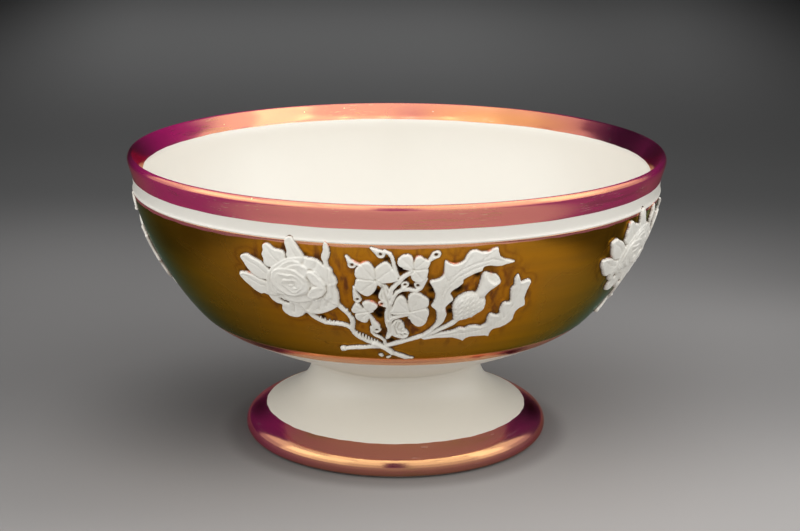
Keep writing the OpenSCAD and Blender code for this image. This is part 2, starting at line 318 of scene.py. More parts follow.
inner_floor = [inner_turn, inner_turn - 9 * along_turn, floor_edge + [11, 3.6], floor_edge]
well_floor = floor_edge[1] - well_depth
well = [floor_edge, floor_edge - [4, 1.1], np.array([well_edge, well_floor]), np.array([0.0, well_floor])]
skin = Path(under, belly, bead_low, bead_high, white_band, rim_flare, lip_turn, lip_slope,
            lip_edge, lip_in, mouth, inner_belly, inner_floor, well)
at_turn, at_belly_top, at_band_foot, at_mouth = (skin.marks[i] for i in (1, 2, 5, 10))
# The sprigs lie on the belly and on past its top, over the bead
belly_lean = (belly[3] - belly[2]) / np.linalg.norm(belly[3] - belly[2])
sprig_bed = Path(under, belly, [belly_top + run * belly_lean for run in (0, 2, 4, 6)])

foot_tuck = [stand, between(edge_mid, stand, 0.3, 0.82), between(edge_mid, stand, 0, 0.45), edge_mid]
foot_round = arc(edge_mid - [edge_r, 0], edge_r, 0, edge_turn)
foot_shoulder = [foot_round[3], foot_round[3] + 1.6 * facing(edge_turn + 90),
                 brim + 2.4 * facing(-brim_slope), brim]
foot_sweep = [brim, between(neck, brim, 0.44, 0.79), between(neck, brim, 0, 0.52), neck]
foot_skin = Path(foot_tuck, foot_round, foot_shoulder, foot_sweep)
at_brim, at_neck = foot_skin.marks[3:]


# Turned pieces

def wander(azimuth, reach, seed):
    """Unsteady hand of a brush round the bowl: a shift in mm that closes on itself."""
    turns = (2, 5, 9, 17, 31, 57)
    waves = [math.cos(seed * 7.3 + n * 2.1) * np.sin(n * azimuth + seed * 3.7 + n) / (1 + 0.25 * k)
             for k, n in enumerate(turns)]
    return reach * sum(waves) / 2


def turned(name, r, z, steps, marks=None):
    """Spins a closed outline, given by radius and height in mm, into a turned solid."""
    bpy.ops.object.select_all(action="DESELECT")
    bpy.ops.mesh.primitive_circle_add(vertices=len(r))
    piece = bpy.context.object
    piece.name = piece.data.name = name
    piece.data.vertices.foreach_set("co", (np.stack([r, 0 * r, z], 1) * MM).ravel())
    for mark, values in (marks or {}).items():
        put_mark(piece, mark, values)
    lathe = piece.modifiers.new("lathe", "SCREW")
    lathe.angle, lathe.axis = 2 * math.pi, "Z"
    lathe.steps = lathe.render_steps = steps
    lathe.use_merge_vertices, lathe.merge_threshold = True, merge_gap
    bpy.ops.object.modifier_apply(modifier=lathe.name)
    bpy.ops.object.mode_set(mode="EDIT")
    bpy.ops.mesh.select_all(action="SELECT")
    bpy.ops.mesh.remove_doubles(threshold=merge_gap)
    bpy.ops.mesh.dissolve_degenerate(threshold=flat_gap)
    bpy.ops.mesh.normals_make_consistent(inside=False)
    bpy.ops.object.mode_set(mode="OBJECT")
    bpy.ops.object.shade_smooth_by_angle(angle=math.radians(round_under))
    return piece


def points_of(piece):
    """Vertices of a piece in metres."""
    co = np.empty(len(piece.data.vertices) * 3, np.float32)
    piece.data.vertices.foreach_get("co", co)
    return co.reshape(-1, 3).astype(float)


def mark_of(piece, mark):
    """Value at each vertex of what was marked on a piece."""
    values = np.empty(len(piece.data.vertices), np.float32)
    piece.data.attributes[mark].data.foreach_get("value", values)
    return values.astype(float)


def put_mark(piece, mark, values):
    """Marks a value on each vertex of a piece."""
    attribute = piece.data.attributes.new(mark, "FLOAT", "POINT")
    attribute.data.foreach_set("value", values.astype(np.float32))


def lay(path, azimuth, along, lift):
    """Points in metres on a turned surface: azimuth 0 faces the front."""
    r, z = path.at(along, lift)
    return np.stack([r * np.sin(azimuth), -r * np.cos(azimuth), z], 1) * MM


def film(name, path, low, high, rows, steps, proud, unsteady, seed,
         thick_and_side_shade=(0.0, 0.0, 0.0), worn=0.0, dark_reflections=(), bright_reflections=()):
    """Thin shell of lustre over a stretch of a turned surface, with brushed edges.

    unsteady is how far its two edges wander. Its depth of film is given for the left, the middle
    and the right of the bowl, and also paints the sides darker as they mirror the dark room. Spots of
    painted reflection, dark purplish ones and orange-hued bright ones, are given by their degrees round
    the bowl, half width, strength, and middle and spread across the film.
    """
    along = np.concatenate([np.linspace(low, high, rows), np.linspace(high, low, film_back_rows)])
    lift = np.concatenate([np.full(rows, proud), np.full(film_back_rows, -film_sunk)])
    piece = turned(name, *path.at(along, lift), steps, {"along": along, "lift": lift})
    co = points_of(piece)
    azimuth = np.arctan2(co[:, 0], -co[:, 1])
    along, lift = mark_of(piece, "along"), mark_of(piece, "lift")
    share = (along - low) / (high - low)
    low_edge, high_edge = (wander(azimuth, reach, seed + i) for i, reach in enumerate(unsteady))
    shift = low_edge * (1 - share) + high_edge * share
    piece.data.vertices.foreach_set("co", lay(path, azimuth, along + shift, lift).ravel())
    # The left and right shares also paint the sides darker, as they mirror the dark room
    left, right = ((0.5 + 0.5 * side * np.sin(azimuth)) ** side_keeping for side in (-1, 1))
    thickness = thick_and_side_shade[0] * left + thick_and_side_shade[1] * (1 - left - right) + thick_and_side_shade[2] * right
    marks = {"thick_and_side_shade": thickness, "worn": np.full(len(co), worn)}
    for colour, spots in (("painted_dark_reflection", dark_reflections), ("painted_bright_reflection", bright_reflections)):
        marks[colour] = np.zeros(len(co))
        for degrees, half_width, strength, middle, spread in spots:
            off = (np.degrees(azimuth) - degrees + 180) % 360 - 180
            spot = strength * np.exp(-(off / half_width) ** 2 - ((share - middle) / spread) ** 2)
            marks[colour] = np.maximum(marks[colour], spot)
    for mark, values in marks.items():
        put_mark(piece, mark, values)
    return piece


def bowl_body():
    """Thrown bowl, closed under its seat."""
    spans = zip(skin.marks, skin.marks[1:], body_rows)
    along = [np.linspace(start, stop, rows, endpoint=False) for start, stop, rows in spans]
    r, z = skin.at(np.concatenate(along + [[skin.marks[-1]]]))
    return turned("bowl_body_glazed", np.append(r, 0.0), np.append(z, seat[1]), body_steps)


def pedestal_foot():
    """Thrown foot, hollow underneath, with a flat ring to stand on."""
    r, z = foot_skin.at(np.linspace(0, at_neck, foot_rows))
    hollow_r, hollow_z = foot_skin.at(np.linspace(at_neck, at_brim, foot_hollow_rows), -foot_wall)
    ring = stand - [stand_w, 0]
    return turned("pedestal_foot_glazed", np.concatenate([r, hollow_r, [ring[0]]]),
                  np.concatenate([z, hollow_z, [ring[1]]]), foot_steps)


def luting_slip():
    """Fillet of slip in the corner between the foot and the bowl."""
    low = np.array(foot_skin.at(at_neck - slip_reach, slip_proud))
    high = np.array(skin.at(slip_reach, slip_proud))
    corner = (neck + seat) / 2 + [slip_bulge, 0]
    fillet = Path([low, corner, corner, high])
    r, z = fillet.at(np.linspace(0, fillet.marks[1], slip_rows))
    back = seat[0] - slip_back
    return turned("luting_slip_fillet", np.concatenate([r, [back, back]]),
                  np.concatenate([z, [seat[1], neck[1] - slip_reach]]), slip_steps)


# Pressed clay

def rounded(points):
    """Outline through its points, round between them and sharp at its tips."""
    p = np.array(points, float)
    ahead = np.roll(p, -1, 0) - p
    length = np.linalg.norm(ahead, axis=1)
    step = ahead / length[:, None]
    before = np.roll(step, 1, 0)
    lean = before + step
    lean /= np.maximum(np.linalg.norm(lean, axis=1), 1e-6)[:, None]
    ease = np.sqrt(np.clip((1 + (before * step).sum(1)) / 2, 0, 1))[:, None]
    lean = lean * ease
    out = []
    for i in range(len(p)):
        j = (i + 1) % len(p)
        for t in np.arange(outline_steps) / outline_steps:
            out.append((2 * t ** 3 - 3 * t ** 2 + 1) * p[i]
                       + (t ** 3 - 2 * t ** 2 + t) * length[i] * lean[i]
                       + (3 * t ** 2 - 2 * t ** 3) * p[j]
                       + (t ** 3 - t ** 2) * length[i] * lean[j])
    return np.array(out)


def inside_by(spots, outline):
    """How far each spot lies inside an outline, in mm, and below 0 outside it."""
    near = np.all((spots > outline.min(0) - far_off) & (spots < outline.max(0) + far_off), axis=1)
    edge = np.full(len(spots), -far_off)
    spots = spots[near]
    least = np.full(len(spots), far_off ** 2)
    inside = np.zeros(len(spots), bool)
    for a, b in zip(outline, np.roll(outline, -1, 0)):
        d = b - a
        share = np.clip((spots - a) @ d / (d @ d), 0, 1)
        least = np.minimum(least, ((spots - a - share[:, None] * d) ** 2).sum(1))
        if a[1] != b[1]:
            crosses = (a[1] > spots[:, 1]) != (b[1] > spots[:, 1])
            inside ^= crosses & (spots[:, 0] < a[0] + (spots[:, 1] - a[1]) * d[0] / d[1])
    edge[near] = np.where(inside, 1, -1) * np.sqrt(least)
    return edge


def off_line(spots, line):
    """Distance of each spot from a drawn line, and how far along it as a share."""
    line = np.array(line, float)
    near = np.all((spots > line.min(0) - far_off) & (spots < line.max(0) + far_off), axis=1)
    gaps, places = np.full(len(spots), far_off), np.zeros(len(spots))
    spots = spots[near]
    least = np.full(len(spots), far_off ** 2)
    place = np.zeros(len(spots))
    for i, (a, b) in enumerate(zip(line, line[1:])):
        d = b - a
        share = np.clip((spots - a) @ d / (d @ d), 0, 1)
        gap = ((spots - a - share[:, None] * d) ** 2).sum(1)
        nearer = gap < least
        least = np.where(nearer, gap, least)
        place = np.where(nearer, (i + share) / (len(line) - 1), place)
    gaps[near], places[near] = np.sqrt(least), place
    return gaps, places


def dome(edge, shoulder):
    """Quarter-round rise from an edge to full height."""
    return np.sqrt(1 - (1 - np.clip(edge / shoulder, 0, 1)) ** 2)


def carried(points, lift):
    """Drawn points moved so that clay at this height shows where the drawing has them from the front."""
    small_step = 0.1
    points = np.array(points, float)
    azimuth, along = points[:, 0] / drawn_r, at_turn + points[:, 1]
    spot = lay(sprig_bed, azimuth, along, 0) / MM
    out = lay(sprig_bed, azimuth, along, 1) / MM - spot
    up = (lay(sprig_bed, azimuth, along + small_step, 0) / MM - spot) / small_step
    across = np.stack([np.cos(azimuth), np.sin(azimuth), 0 * azimuth], 1)
    sight = eye / MM - spot
    depth = (sight * out).sum(1)
    ratio = drawn_r / np.hypot(spot[:, 0], spot[:, 1])
    return points + lift * np.stack(
        [(sight * across).sum(1) / depth * ratio, (sight * up).sum(1) / depth], 1)


class Relief:
    """Clay piled over spots of the unrolled ground: its height, and how far inside its edge each is."""

    def __init__(self, spots):
        outside = 9.0
        x, y = spots.T
        self.spots = spots + hand_wobble * np.stack(
            [np.sin(1.3 * y + 0.6 * x) + 0.3 * np.sin(3.7 * y - 1.9 * x),
             np.sin(1.2 * x - 0.8 * y) + 0.3 * np.sin(3.3 * x + 2.3 * y)], 1)
        self.edge = np.full(len(spots), -outside)
        self.height = np.zeros(len(spots))

    def pile(self, edge, top):
        """Adds a shape, by how far inside it each spot is and how high it is there."""
        self.height = np.where(edge > 0, np.maximum(self.height, top), self.height)
        self.edge = np.maximum(self.edge, edge)

    def leaf(self, outline, relief):
        """Flat leaf with a sharp edge and a slightly raised rim."""
        edge = inside_by(self.spots, rounded(carried(outline, 0.5 * relief))) - leaf_trim
        sunk = leaf_rim * (1 - np.exp(-(edge / leaf_rim_w) ** 2))
        self.pile(edge, relief * dome(edge, leaf_edge_w) - sunk)

    def petal(self, outline, relief):
        """Petal that covers what is under it, with a rolled lip and a hollow behind."""
        edge = inside_by(self.spots, rounded(carried(outline, relief)))
        lip = petal_lip * (1 - dome(edge, petal_lip_w))
        dish = petal_dish * (1 - np.exp(-(edge / petal_dish_w) ** 2))
        self.height = np.where(edge > 0, relief - lip - dish, self.height)

    def stem(self, line, half_width, relief, end_width=None):
        """Round stem along a line, which may change its width to the end."""
        gap, place = off_line(self.spots, carried(line, 0.5 * relief))
        width = half_width + ((end_width or half_width) - half_width) * place
        edge = width - gap
        self.pile(edge, relief * dome(edge, np.minimum(width, stem_edge_w)))

    def ribbon(self, line, half_width, relief):
        """Flat stem with a furrow down its middle."""
        gap, _ = off_line(self.spots, carried(line, 0.5 * relief))
        edge = half_width - gap
        furrow = ribbon_furrow * np.exp(-(gap / ribbon_furrow_w) ** 2)
        self.pile(edge, relief * dome(edge, ribbon_edge_w) - furrow)

    def bud(self, line, r, relief):
        """Drop of clay that widens along a line to its round end."""
        self.stem(line, bud_tip_r, relief, r)
        edge = r - np.linalg.norm(self.spots - carried(line[-1:], 0.5 * relief), axis=1)
        self.pile(edge, relief * dome(edge, bud_edge_w))

    def pit(self, centre, r):
        """Steep round hole down to the ground."""
        gap = np.linalg.norm(self.spots - carried([centre], bud_eye_lift), axis=1)
        self.height *= 1 - np.exp(-(gap / r) ** 6)

    def groove(self, line, depth, half_width, lift):
        """Cut along a line, drawn as it shows at a height."""
        gap, _ = off_line(self.spots, carried(line, lift))
        cut = depth * np.exp(-(gap / half_width) ** 2)
        self.height -= cut * np.clip(self.height / thin_clay, 0, 1)


# Sprig drawings, in mm across and up the unrolled belly from the middle of the bouquet
rose_leaves = (
    ((-42.6, 30.9), (-41.6, 31.4), (-40, 31.5), (-38.8, 31.2), (-36.5, 30.2), (-34, 29), (-33.6, 26.5),
     (-35, 24.6), (-36.2, 24.8), (-37.3, 24.4), (-38.6, 25.2), (-40.3, 26.9), (-41.6, 28.4)),
    ((-41, 36.5), (-39.9, 37.2), (-38.6, 37.6), (-37.2, 37), (-35.5, 36.1), (-34, 35.2), (-32.5, 33.2),
     (-33.2, 30.4), (-36, 30), (-38.3, 31.3), (-39.1, 32.7), (-40, 34.5)),
    ((-33.4, 41.4), (-32.4, 41.8), (-31.5, 41.3), (-30.6, 40.6), (-29, 40.3), (-27.9, 39.8),
     (-27.3, 38), (-29.5, 35), (-32.7, 34.4), (-33.9, 35.6), (-33.9, 37), (-34.3, 38.2), (-33.7, 39.4)),
    ((-26.5, 44.5), (-25.6, 44.4), (-24.7, 43), (-23.6, 41.3), (-22.6, 39.2), (-22.6, 37.5),
     (-25, 36.5), (-27.2, 38.2), (-27.2, 40.5), (-27.4, 42.6), (-27.3, 43.8)),
    ((-17.1, 44), (-16.3, 43.2), (-16, 42), (-15.9, 40.8), (-16.1, 39.4), (-16.5, 38), (-16.5, 35.8),
     (-17.6, 35.8), (-17.8, 37.5), (-18.2, 38.8), (-18.2, 39.8), (-17.8, 41), (-17.6, 42.4)))
rose_leaf_veins = (
    ((-41.5, 30.2), (-39.4, 28.8), (-37, 27.6), (-35.4, 27.2)),
    ((-38.6, 30.9), (-37, 29.8), (-35.4, 28.9)),
    ((-40.2, 36.2), (-38.4, 35), (-36.6, 34), (-34.6, 32.2)),
    ((-32.9, 41), (-32, 39), (-30.8, 37.4), (-29.6, 36)),
    ((-26.2, 43.6), (-25.9, 41.2), (-25.2, 39.3), (-24.6, 38)),
    ((-17, 42.6), (-17, 39.5), (-17.1, 37.5)))
bloom = (
    (-27.3, 38), (-25, 38.7), (-22, 38.8), (-20, 38.5), (-18.3, 37.5), (-17.3, 36.3), (-16.3, 36.2),
    (-15.7, 35.5), (-15.6, 34.3), (-14.8, 32.5), (-14.7, 31), (-15.1, 30.2), (-14.7, 28), (-14.7, 25.5),
    (-15, 23.3), (-16.5, 21.8), (-18.5, 20.5), (-20.5, 19.5), (-22, 19.3), (-24.5, 19.5), (-25.2, 19),
    (-26.5, 17.7), (-28.5, 17), (-30.5, 17.3), (-31.8, 18.5), (-32.2, 19.8), (-31.8, 21.5), (-33, 21.7),
    (-34.5, 23), (-35, 24.5), (-34.8, 27), (-34.4, 29.5), (-33.6, 32), (-32.4, 34), (-30.5, 35.8))
# Petals from the outermost to the heart, each with its height
petals = (
    (((-25.3, 19.2), (-26.5, 17.4), (-28.5, 16.7), (-30.5, 17), (-32, 18.3), (-32.4, 19.9),
      (-31.6, 21.6), (-29.6, 22.2), (-27.3, 22.6), (-25.4, 21.8)),
     0.9),
    (((-32, 21.5), (-33, 21.4), (-34.8, 22.8), (-35.3, 24.5), (-34.4, 26.5), (-31, 27), (-29.5, 24),
      (-30.6, 22.8)),
     1.0),
    (((-27.3, 38.3), (-25, 39), (-22, 39.1), (-20, 38.8), (-18.3, 37.8), (-17.2, 36.4), (-17, 33),
      (-17.8, 30), (-24, 29), (-28, 34)),
     1.2),
    (((-15, 23.4), (-16.5, 21.5), (-18.5, 20.2), (-20.5, 19.2), (-22, 19), (-24.8, 19.2), (-25.8, 21.3),
      (-26.4, 25), (-22, 27), (-18.3, 26)),
     1.2),
    (((-14.9, 30.4), (-14.4, 28), (-14.4, 25.5), (-14.8, 23.2), (-16.4, 23), (-18.6, 24.6), (-20, 27),
      (-19, 30.2)),
     1.35),
    (((-17.2, 36.5), (-16.3, 36.5), (-15.4, 35.7), (-15.3, 34.3), (-14.5, 32.5), (-14.5, 31),
      (-15.3, 30), (-17.6, 29.8), (-17.3, 32.5), (-17, 34.5)),
     1.25),
    (((-35.2, 24.6), (-35, 27), (-34.6, 29.5), (-33.8, 32), (-32.3, 34.3), (-30.3, 36.1), (-27.8, 38),
      (-25.5, 37.8), (-25, 33), (-30, 27), (-32, 24.6)),
     1.2),
    (((-30.6, 24.2), (-29.6, 23.1), (-27, 22.5), (-25, 23.1), (-22, 24), (-20, 25.6), (-21, 27),
      (-27, 28), (-30.5, 26)),
     1.35),
    (((-33.6, 25.6), (-33.5, 28.6), (-32.6, 31.4), (-30.9, 33.8), (-28.6, 35.9), (-26.4, 37.2),
      (-24, 36.6), (-24, 30), (-28, 26), (-31, 24.8)),
     1.42),
    (((-32.7, 25.6), (-32.6, 28), (-31.6, 30.8), (-29.8, 33.2), (-27.4, 35.2), (-24.6, 36), (-22.2, 35),
      (-24, 30), (-28, 26), (-31, 24.8)),
     1.6),
    (((-22.2, 33.9), (-20.3, 33.8), (-19.1, 32.3), (-18.2, 30.4), (-18.1, 29.2), (-19.5, 29),
      (-21.6, 30), (-22.6, 31.8)),
     1.75),
    (((-23.6, 25), (-22.9, 27), (-21.8, 28.4), (-19.8, 29.1), (-18.3, 28.8), (-18.1, 27.4), (-19.1, 26),
      (-20.6, 24.9), (-22.2, 24.4)),
     1.85))
petal_folds = (
    ((-17.2, 36), (-16.9, 33.5), (-17, 30.6)), ((-16.3, 29.5), (-16.3, 26.5), (-17, 24)),
    ((-17.4, 25), (-18.6, 22.5)), ((-20, 24), (-21, 21)), ((-22.8, 23), (-24.2, 20.4)),
    ((-22.6, 38), (-23.4, 36.4)), ((-19.4, 37.6), (-20.4, 35.4)), ((-28.4, 21.4), (-29, 18.6)))
rose_crease = (
    (-21.5, 34.6), (-20, 33.6), (-18.6, 31.8), (-17.9, 29.6), (-18, 27.6), (-19.2, 25.7), (-21, 24.4))
# Swirl at the heart: its middle, its half sizes and the turns of petal in it
heart = (-26.6, 29.0)
heart_size = (4.9, 4.5)
heart_turns = 3.1
# The outer turns lie off to one side of it
heart_drift = (-1.1, 0.6)
# The heights at which the drawing shows the heart and the bloom's outline, and its round edge
heart_lift = 1.6
bloom_lift = 0.5
bloom_edge_w = 0.3
rose_slit = ((-31.6, 23), (-31, 22.6), (-30, 22.2))
rose_stems = (
    (((-15.6, 24), (-14.4, 22.2), (-13.2, 20.5), (-12.2, 18.5), (-11.9, 16.5), (-12.2, 14.8),
      (-12.6, 13.8)),
     0.7),
    (((-24.5, 20), (-23.2, 18.3), (-21.8, 17), (-20, 16.1), (-17.5, 15.8), (-15, 15.8), (-13.6, 15.3),
      (-12.7, 14.2), (-12, 12.5), (-10.6, 10.6), (-8.5, 9.2), (-6.5, 8.2)),
     0.72))
rose_crossing = ((-6.5, 8.2), (-4.8, 7.3), (-3.4, 6.3), (-2.4, 5.1), (-1.2, 3.8))
rose_tail = ((-1.2, 3.8), (0.5, 2.6), (2.4, 1.7))
rose_tail_end = (
    (0.9, 3.2), (2.4, 2.8), (3.8, 1.9), (4.6, 1.3), (5.7, 0.9), (6.2, 0.3), (4.4, 0.5), (3.2, 0.3),
    (1.9, 1), (0.6, 1.8))
thorn_runs = (
    ((-11.2, 13.2), (-5.4, 9.5), 8), ((-22.4, 18.6), (-17.4, 17), 5), ((-11.6, 19.2), (-13, 22), 3))
# Spots where the clay's edge is painted red as a highlight of bright lustre catching the light, with the
# reach of each
painted_glints = (
    (6.2, 40, 1.5), (-6.5, 25.4, 1.6), (-4.2, 24.2, 0.9), (22.5, 41, 1.8), (14, 37.6, 1.2),
    (23, 34.4, 1.0), (13.8, 22, 1.3), (-3.9, 18.5, 1.3), (-10, 37.9, 0.9), (-8, 38, 1.2),
    (-33.6, 41.6, 1.2), (-16.9, 43.4, 1.2), (12.6, 35, 1.0), (-18.4, 20.6, 1.6), (18.5, 16.8, 1.6),
    (9.2, 31.8, 0.9), (-38.6, 31.6, 0.8))
# Nooks where the bronze is painted nearly black, as lustre that ran together and as painted shade, each
# with its reach
dark_pools_and_shade = (
    (-5.3, 21.2, 1.4), (-4.0, 22.2, 1.6), (-4.2, 20.2, 1.2), (-4.9, 28.7, 1.6), (1.5, 36.5, 1.8),
    (-0.3, 29.9, 1.5), (0.7, 31.6, 1.0), (2.3, 33, 1.0), (3.9, 30.8, 0.9), (1.9, 27.9, 1.3),
    (0.1, 20.4, 0.8), (-4.6, 12.2, 0.9), (-1.2, 9.8, 1.0), (-2.2, 39.4, 0.9), (9.4, 29.2, 1.2),
    (8.9, 31.2, 1.1), (9.2, 25.9, 0.9), (14.9, 24.5, 1.5), (16, 29.4, 1.5), (14.7, 21.4, 1.1),
    (-22.4, 39.5, 0.8), (-20.2, 18.4, 0.8), (-13.8, 21.4, 0.7), (20.6, 33.8, 0.8))
stray_slip = ((-4.9, 2.3, 0.5), (-4.6, 1.7, 0.45), (-2.6, 1, 0.5), (-2.1, 1.3, 0.4))

trefoils = (
    ((-5, 32.3),
     (((-5, 32.3), (-9.8, 33), (-10.1, 34.6), (-9.8, 36.2), (-8.7, 37.5), (-7.3, 38.3), (-6.2, 38.1),
       (-5.5, 37.2), (-5.1, 36.2)),
      ((-5, 32.3), (-5.1, 36.2), (-4.3, 37.2), (-3.2, 38.3), (-2.2, 38.5), (-1.4, 37.8), (-0.7, 36.5),
       (0, 35.2), (0.6, 33.6), (0.4, 32.4), (-1.5, 31.7), (-3.4, 31.7)),
      ((-5, 32.3), (-9.8, 32.8), (-10.3, 31.4), (-10.2, 29.8), (-9.5, 28.5), (-8.5, 27.5), (-7.2, 27.1),
       (-6, 27.7), (-5.1, 29.2), (-4.6, 31)))),
    ((4.4, 35.9),
     (((4.4, 35.9), (1.5, 36.6), (0.6, 37.3), (0.4, 38.3), (0.8, 39.7), (1.7, 40.6), (3, 40.8),
       (3.9, 40), (4.4, 38.4)),
      ((4.4, 35.9), (4.4, 38.4), (4.8, 39.8), (6, 40.2), (7, 39.5), (8.4, 38.4), (8.2, 37), (8, 36)),
      ((4.4, 35.9), (3.7, 34.3), (4.1, 32.8), (5.2, 31.9), (6.4, 31.9), (7.4, 33), (8, 34.5),
       (8.1, 36)))),
    ((3.8, 21.3),
     (((3.8, 21.3), (-1.4, 20.9), (-1, 22.8), (-0.3, 25), (0.1, 26.4), (0.9, 27.3), (1.7, 27.3),
       (2.5, 26.6), (3.1, 25)),
      ((3.8, 21.3), (3.1, 25), (3.2, 27), (4, 28.4), (5, 28.8), (6.1, 28.3), (7.2, 27.3), (8.5, 26.4),
       (8.9, 25), (8.7, 23.7), (8.2, 22.8)),
      ((3.8, 21.3), (8.2, 22.7), (9, 21.8), (9.2, 20.5), (8.8, 19), (8.6, 17.4), (7.9, 16.2),
       (6.8, 15.7), (5.6, 15.9), (4.6, 16.9), (4, 18.5)))),
    ((-7.4, 21),
     (((-7.4, 21), (-11, 20.6), (-11.9, 21.5), (-11.6, 22.6), (-10.9, 23.9), (-10.2, 24.6), (-9.3, 24),
       (-8.4, 22.5)),
      ((-7.4, 21), (-8.4, 22.9), (-8.7, 24.6), (-7.8, 25.4), (-6.5, 25.3), (-5.3, 24.5), (-4.6, 23.7),
       (-4.9, 22.6), (-5.9, 21.8)),
      ((-7.4, 21), (-10.8, 20.4), (-11, 18.8), (-10.1, 17.6), (-8.8, 17.1), (-7.7, 17.4),
       (-7.1, 18.9)))))
shamrock_stem = (
    (-2.9, 10.2), (-1.6, 10.8), (-0.9, 12), (-0.8, 15), (-0.9, 17), (-0.6, 19), (-1, 21), (-0.9, 23.5),
    (-0.8, 25.4), (-1.2, 27), (-1.5, 29), (-1.8, 30.3), (-2.6, 31.2), (-3.8, 32), (-4.9, 32.1),
    (-4.5, 31.2), (-3.9, 30.2), (-4, 28.8), (-4.4, 27.4), (-4.2, 26), (-3.2, 25), (-2.7, 23.8),
    (-2.6, 22.5), (-2.9, 21), (-3.1, 19.5), (-3, 18), (-2.7, 16), (-2.4, 14), (-2.6, 12))
shamrock_flutes = (
    ((-2.1, 11.5), (-1.8, 15), (-2.1, 19), (-1.8, 22), (-2, 25), (-3, 28), (-3.5, 30.8)),
    ((-1.4, 12.5), (-1.2, 17), (-1.4, 21), (-1.2, 24), (-1.8, 27.5), (-2.5, 30.4)),
    ((-3.4, 25.8), (-3.7, 28), (-3.6, 30)))
# Each ribbon with its half width
shamrock_ribbons = (
    (((-1.6, 27), (-1.1, 29.3), (0.2, 31.3), (1.6, 33.2), (3, 34.6), (4.2, 35.6)), 0.62),
    (((-1.1, 24.6), (-0.5, 27), (0.3, 28.5), (1.6, 29.3), (3.4, 29.5), (5.2, 29.1), (6.3, 29.9),
      (7, 31.4), (7.4, 33)),
     0.58),
    (((-1.6, 18), (-0.5, 19.2), (1.2, 19.8), (3.5, 20.6)), 0.68))
shamrock_tendrils = (
    ((-2.6, 41.6), (-1.4, 40.8), (-0.8, 39.5), (-0.5, 37.6), (0, 35.6), (0.6, 33.8)),
    ((-10.6, 38.3), (-9.2, 37.4), (-8.2, 36.8)),
    ((-6.7, 15), (-6.7, 13), (-6, 11.9), (-4.7, 10.9), (-3.4, 9.6), (-3, 7.6)))
# Buds with an eye: the line that each widens along to the eye, and its half width there
shamrock_buds = (
    (((-5.8, 42.4), (-4.8, 41.6), (-3.6, 40.7)), 1.2),
    (((-11.9, 39.7), (-11.3, 38.4), (-10.7, 37.3)), 1.1), (((7.6, 38), (8.8, 39.4), (9.8, 40.4)), 1.15),
    (((1.5, 29.4), (2, 30.2), (2.3, 31.2)), 1.05), (((6.8, 32.8), (6.2, 31.8), (5.6, 30.9)), 1.0),
    (((-10.4, 30), (-10.4, 28), (-9.9, 25.7)), 1.1), (((-2.4, 23.4), (-3, 23.9), (-3.7, 24.4)), 0.9),
    (((-7.2, 20.4), (-6.2, 18), (-5.5, 15.6), (-5.3, 14.2)), 1.2))
bud_side = (
    (-7.1, 20.2), (-6.5, 18.9), (-5.6, 17.8), (-4.6, 16.8), (-4.2, 15.5), (-4.8, 14.6), (-6.6, 15),
    (-6.9, 17), (-7.1, 19))
curled_leaf = (
    (-1, 12), (-0.9, 14.5), (-1, 16.5), (-0.4, 17.9), (0.6, 18.3), (1.6, 17.9), (2.2, 17.1), (2.5, 16),
    (2.7, 14.9), (3.4, 14), (4, 12.9), (3.8, 11.8), (3.1, 11), (2, 10.6), (0.8, 10.8), (0, 11.3))
curled_creases = (
    ((0.4, 17.4), (-0.2, 15.6), (0, 13.6), (0.4, 12.2)), ((1.2, 17), (0.6, 15.2), (1, 13.6)),
    ((2.4, 15.2), (1.6, 14.4), (1.7, 13.2)), ((3.4, 13.6), (2.4, 13.4)), ((2, 11.2), (1.4, 12.2)))
curled_eye = (2.7, 12.6)
curled_eye_r = 0.7 * bud_eye_r

thistle_leaf_up = (
    (7.5, 11.5), (9, 13.5), (10.5, 15.3), (11.2, 17.5), (11.2, 20), (10.7, 21.8), (9.3, 23.4), (10, 25),
    (10.2, 27), (9.6, 29.5), (8.5, 32.3), (10.5, 32.8), (11.8, 34), (11.8, 36), (12.2, 38.6),
    (13.5, 37.7), (15, 37.5), (16.5, 38.4), (17.3, 40), (18.3, 41.3), (19.5, 41.5), (21, 40.7),
    (22.7, 40.8), (24, 41.6), (25.2, 41.7), (25.5, 40), (26, 39), (28, 37.8), (30.3, 36.8), (28, 36.2),
    (26, 35.9), (24, 36.1), (22, 36), (21.8, 34.8), (20, 34.2), (18.3, 33.3), (17.2, 32.3),
    (17.3, 31.5), (16, 30), (14.8, 29), (14.3, 27.8), (14.8, 26.6), (15.1, 25.5), (14.2, 24.2),
    (13.5, 22.8), (13.6, 21.2), (14, 20), (13.7, 18), (12.8, 16.3), (11.5, 14.8), (10, 13), (8.5, 11.7))
thistle_leaf_side = (
    (7.5, 10.7), (10.5, 11.8), (13, 12.6), (15, 13), (17, 13.5), (18.2, 14.3), (20, 14), (21.5, 14.8),
    (23, 14.8), (25.2, 14.2), (26.2, 15.5), (26.2, 17.5), (26.7, 19), (28, 18.5), (29.2, 18.3),
    (29.3, 20.5), (29.8, 22.8), (31.5, 22.8), (31.3, 25), (30.8, 27), (30.8, 28), (31.5, 29),
    (31.2, 31), (31.8, 32.5), (32.8, 31), (33.5, 29.8), (35, 30.2), (36.2, 29.8), (36.3, 28.5),
    (35.8, 26), (35.9, 24), (36.8, 21.2), (35.2, 20), (34.5, 18.5), (34.4, 15.5), (33, 14), (31, 13),
    (29, 12.3), (28.6, 11), (28.5, 9.6), (27, 9.9), (25, 10.2), (22, 10), (21, 9.4), (20.4, 8.3),
    (19.2, 9.3), (17, 10.2), (14, 10.6), (11, 10.4), (8, 10.2))
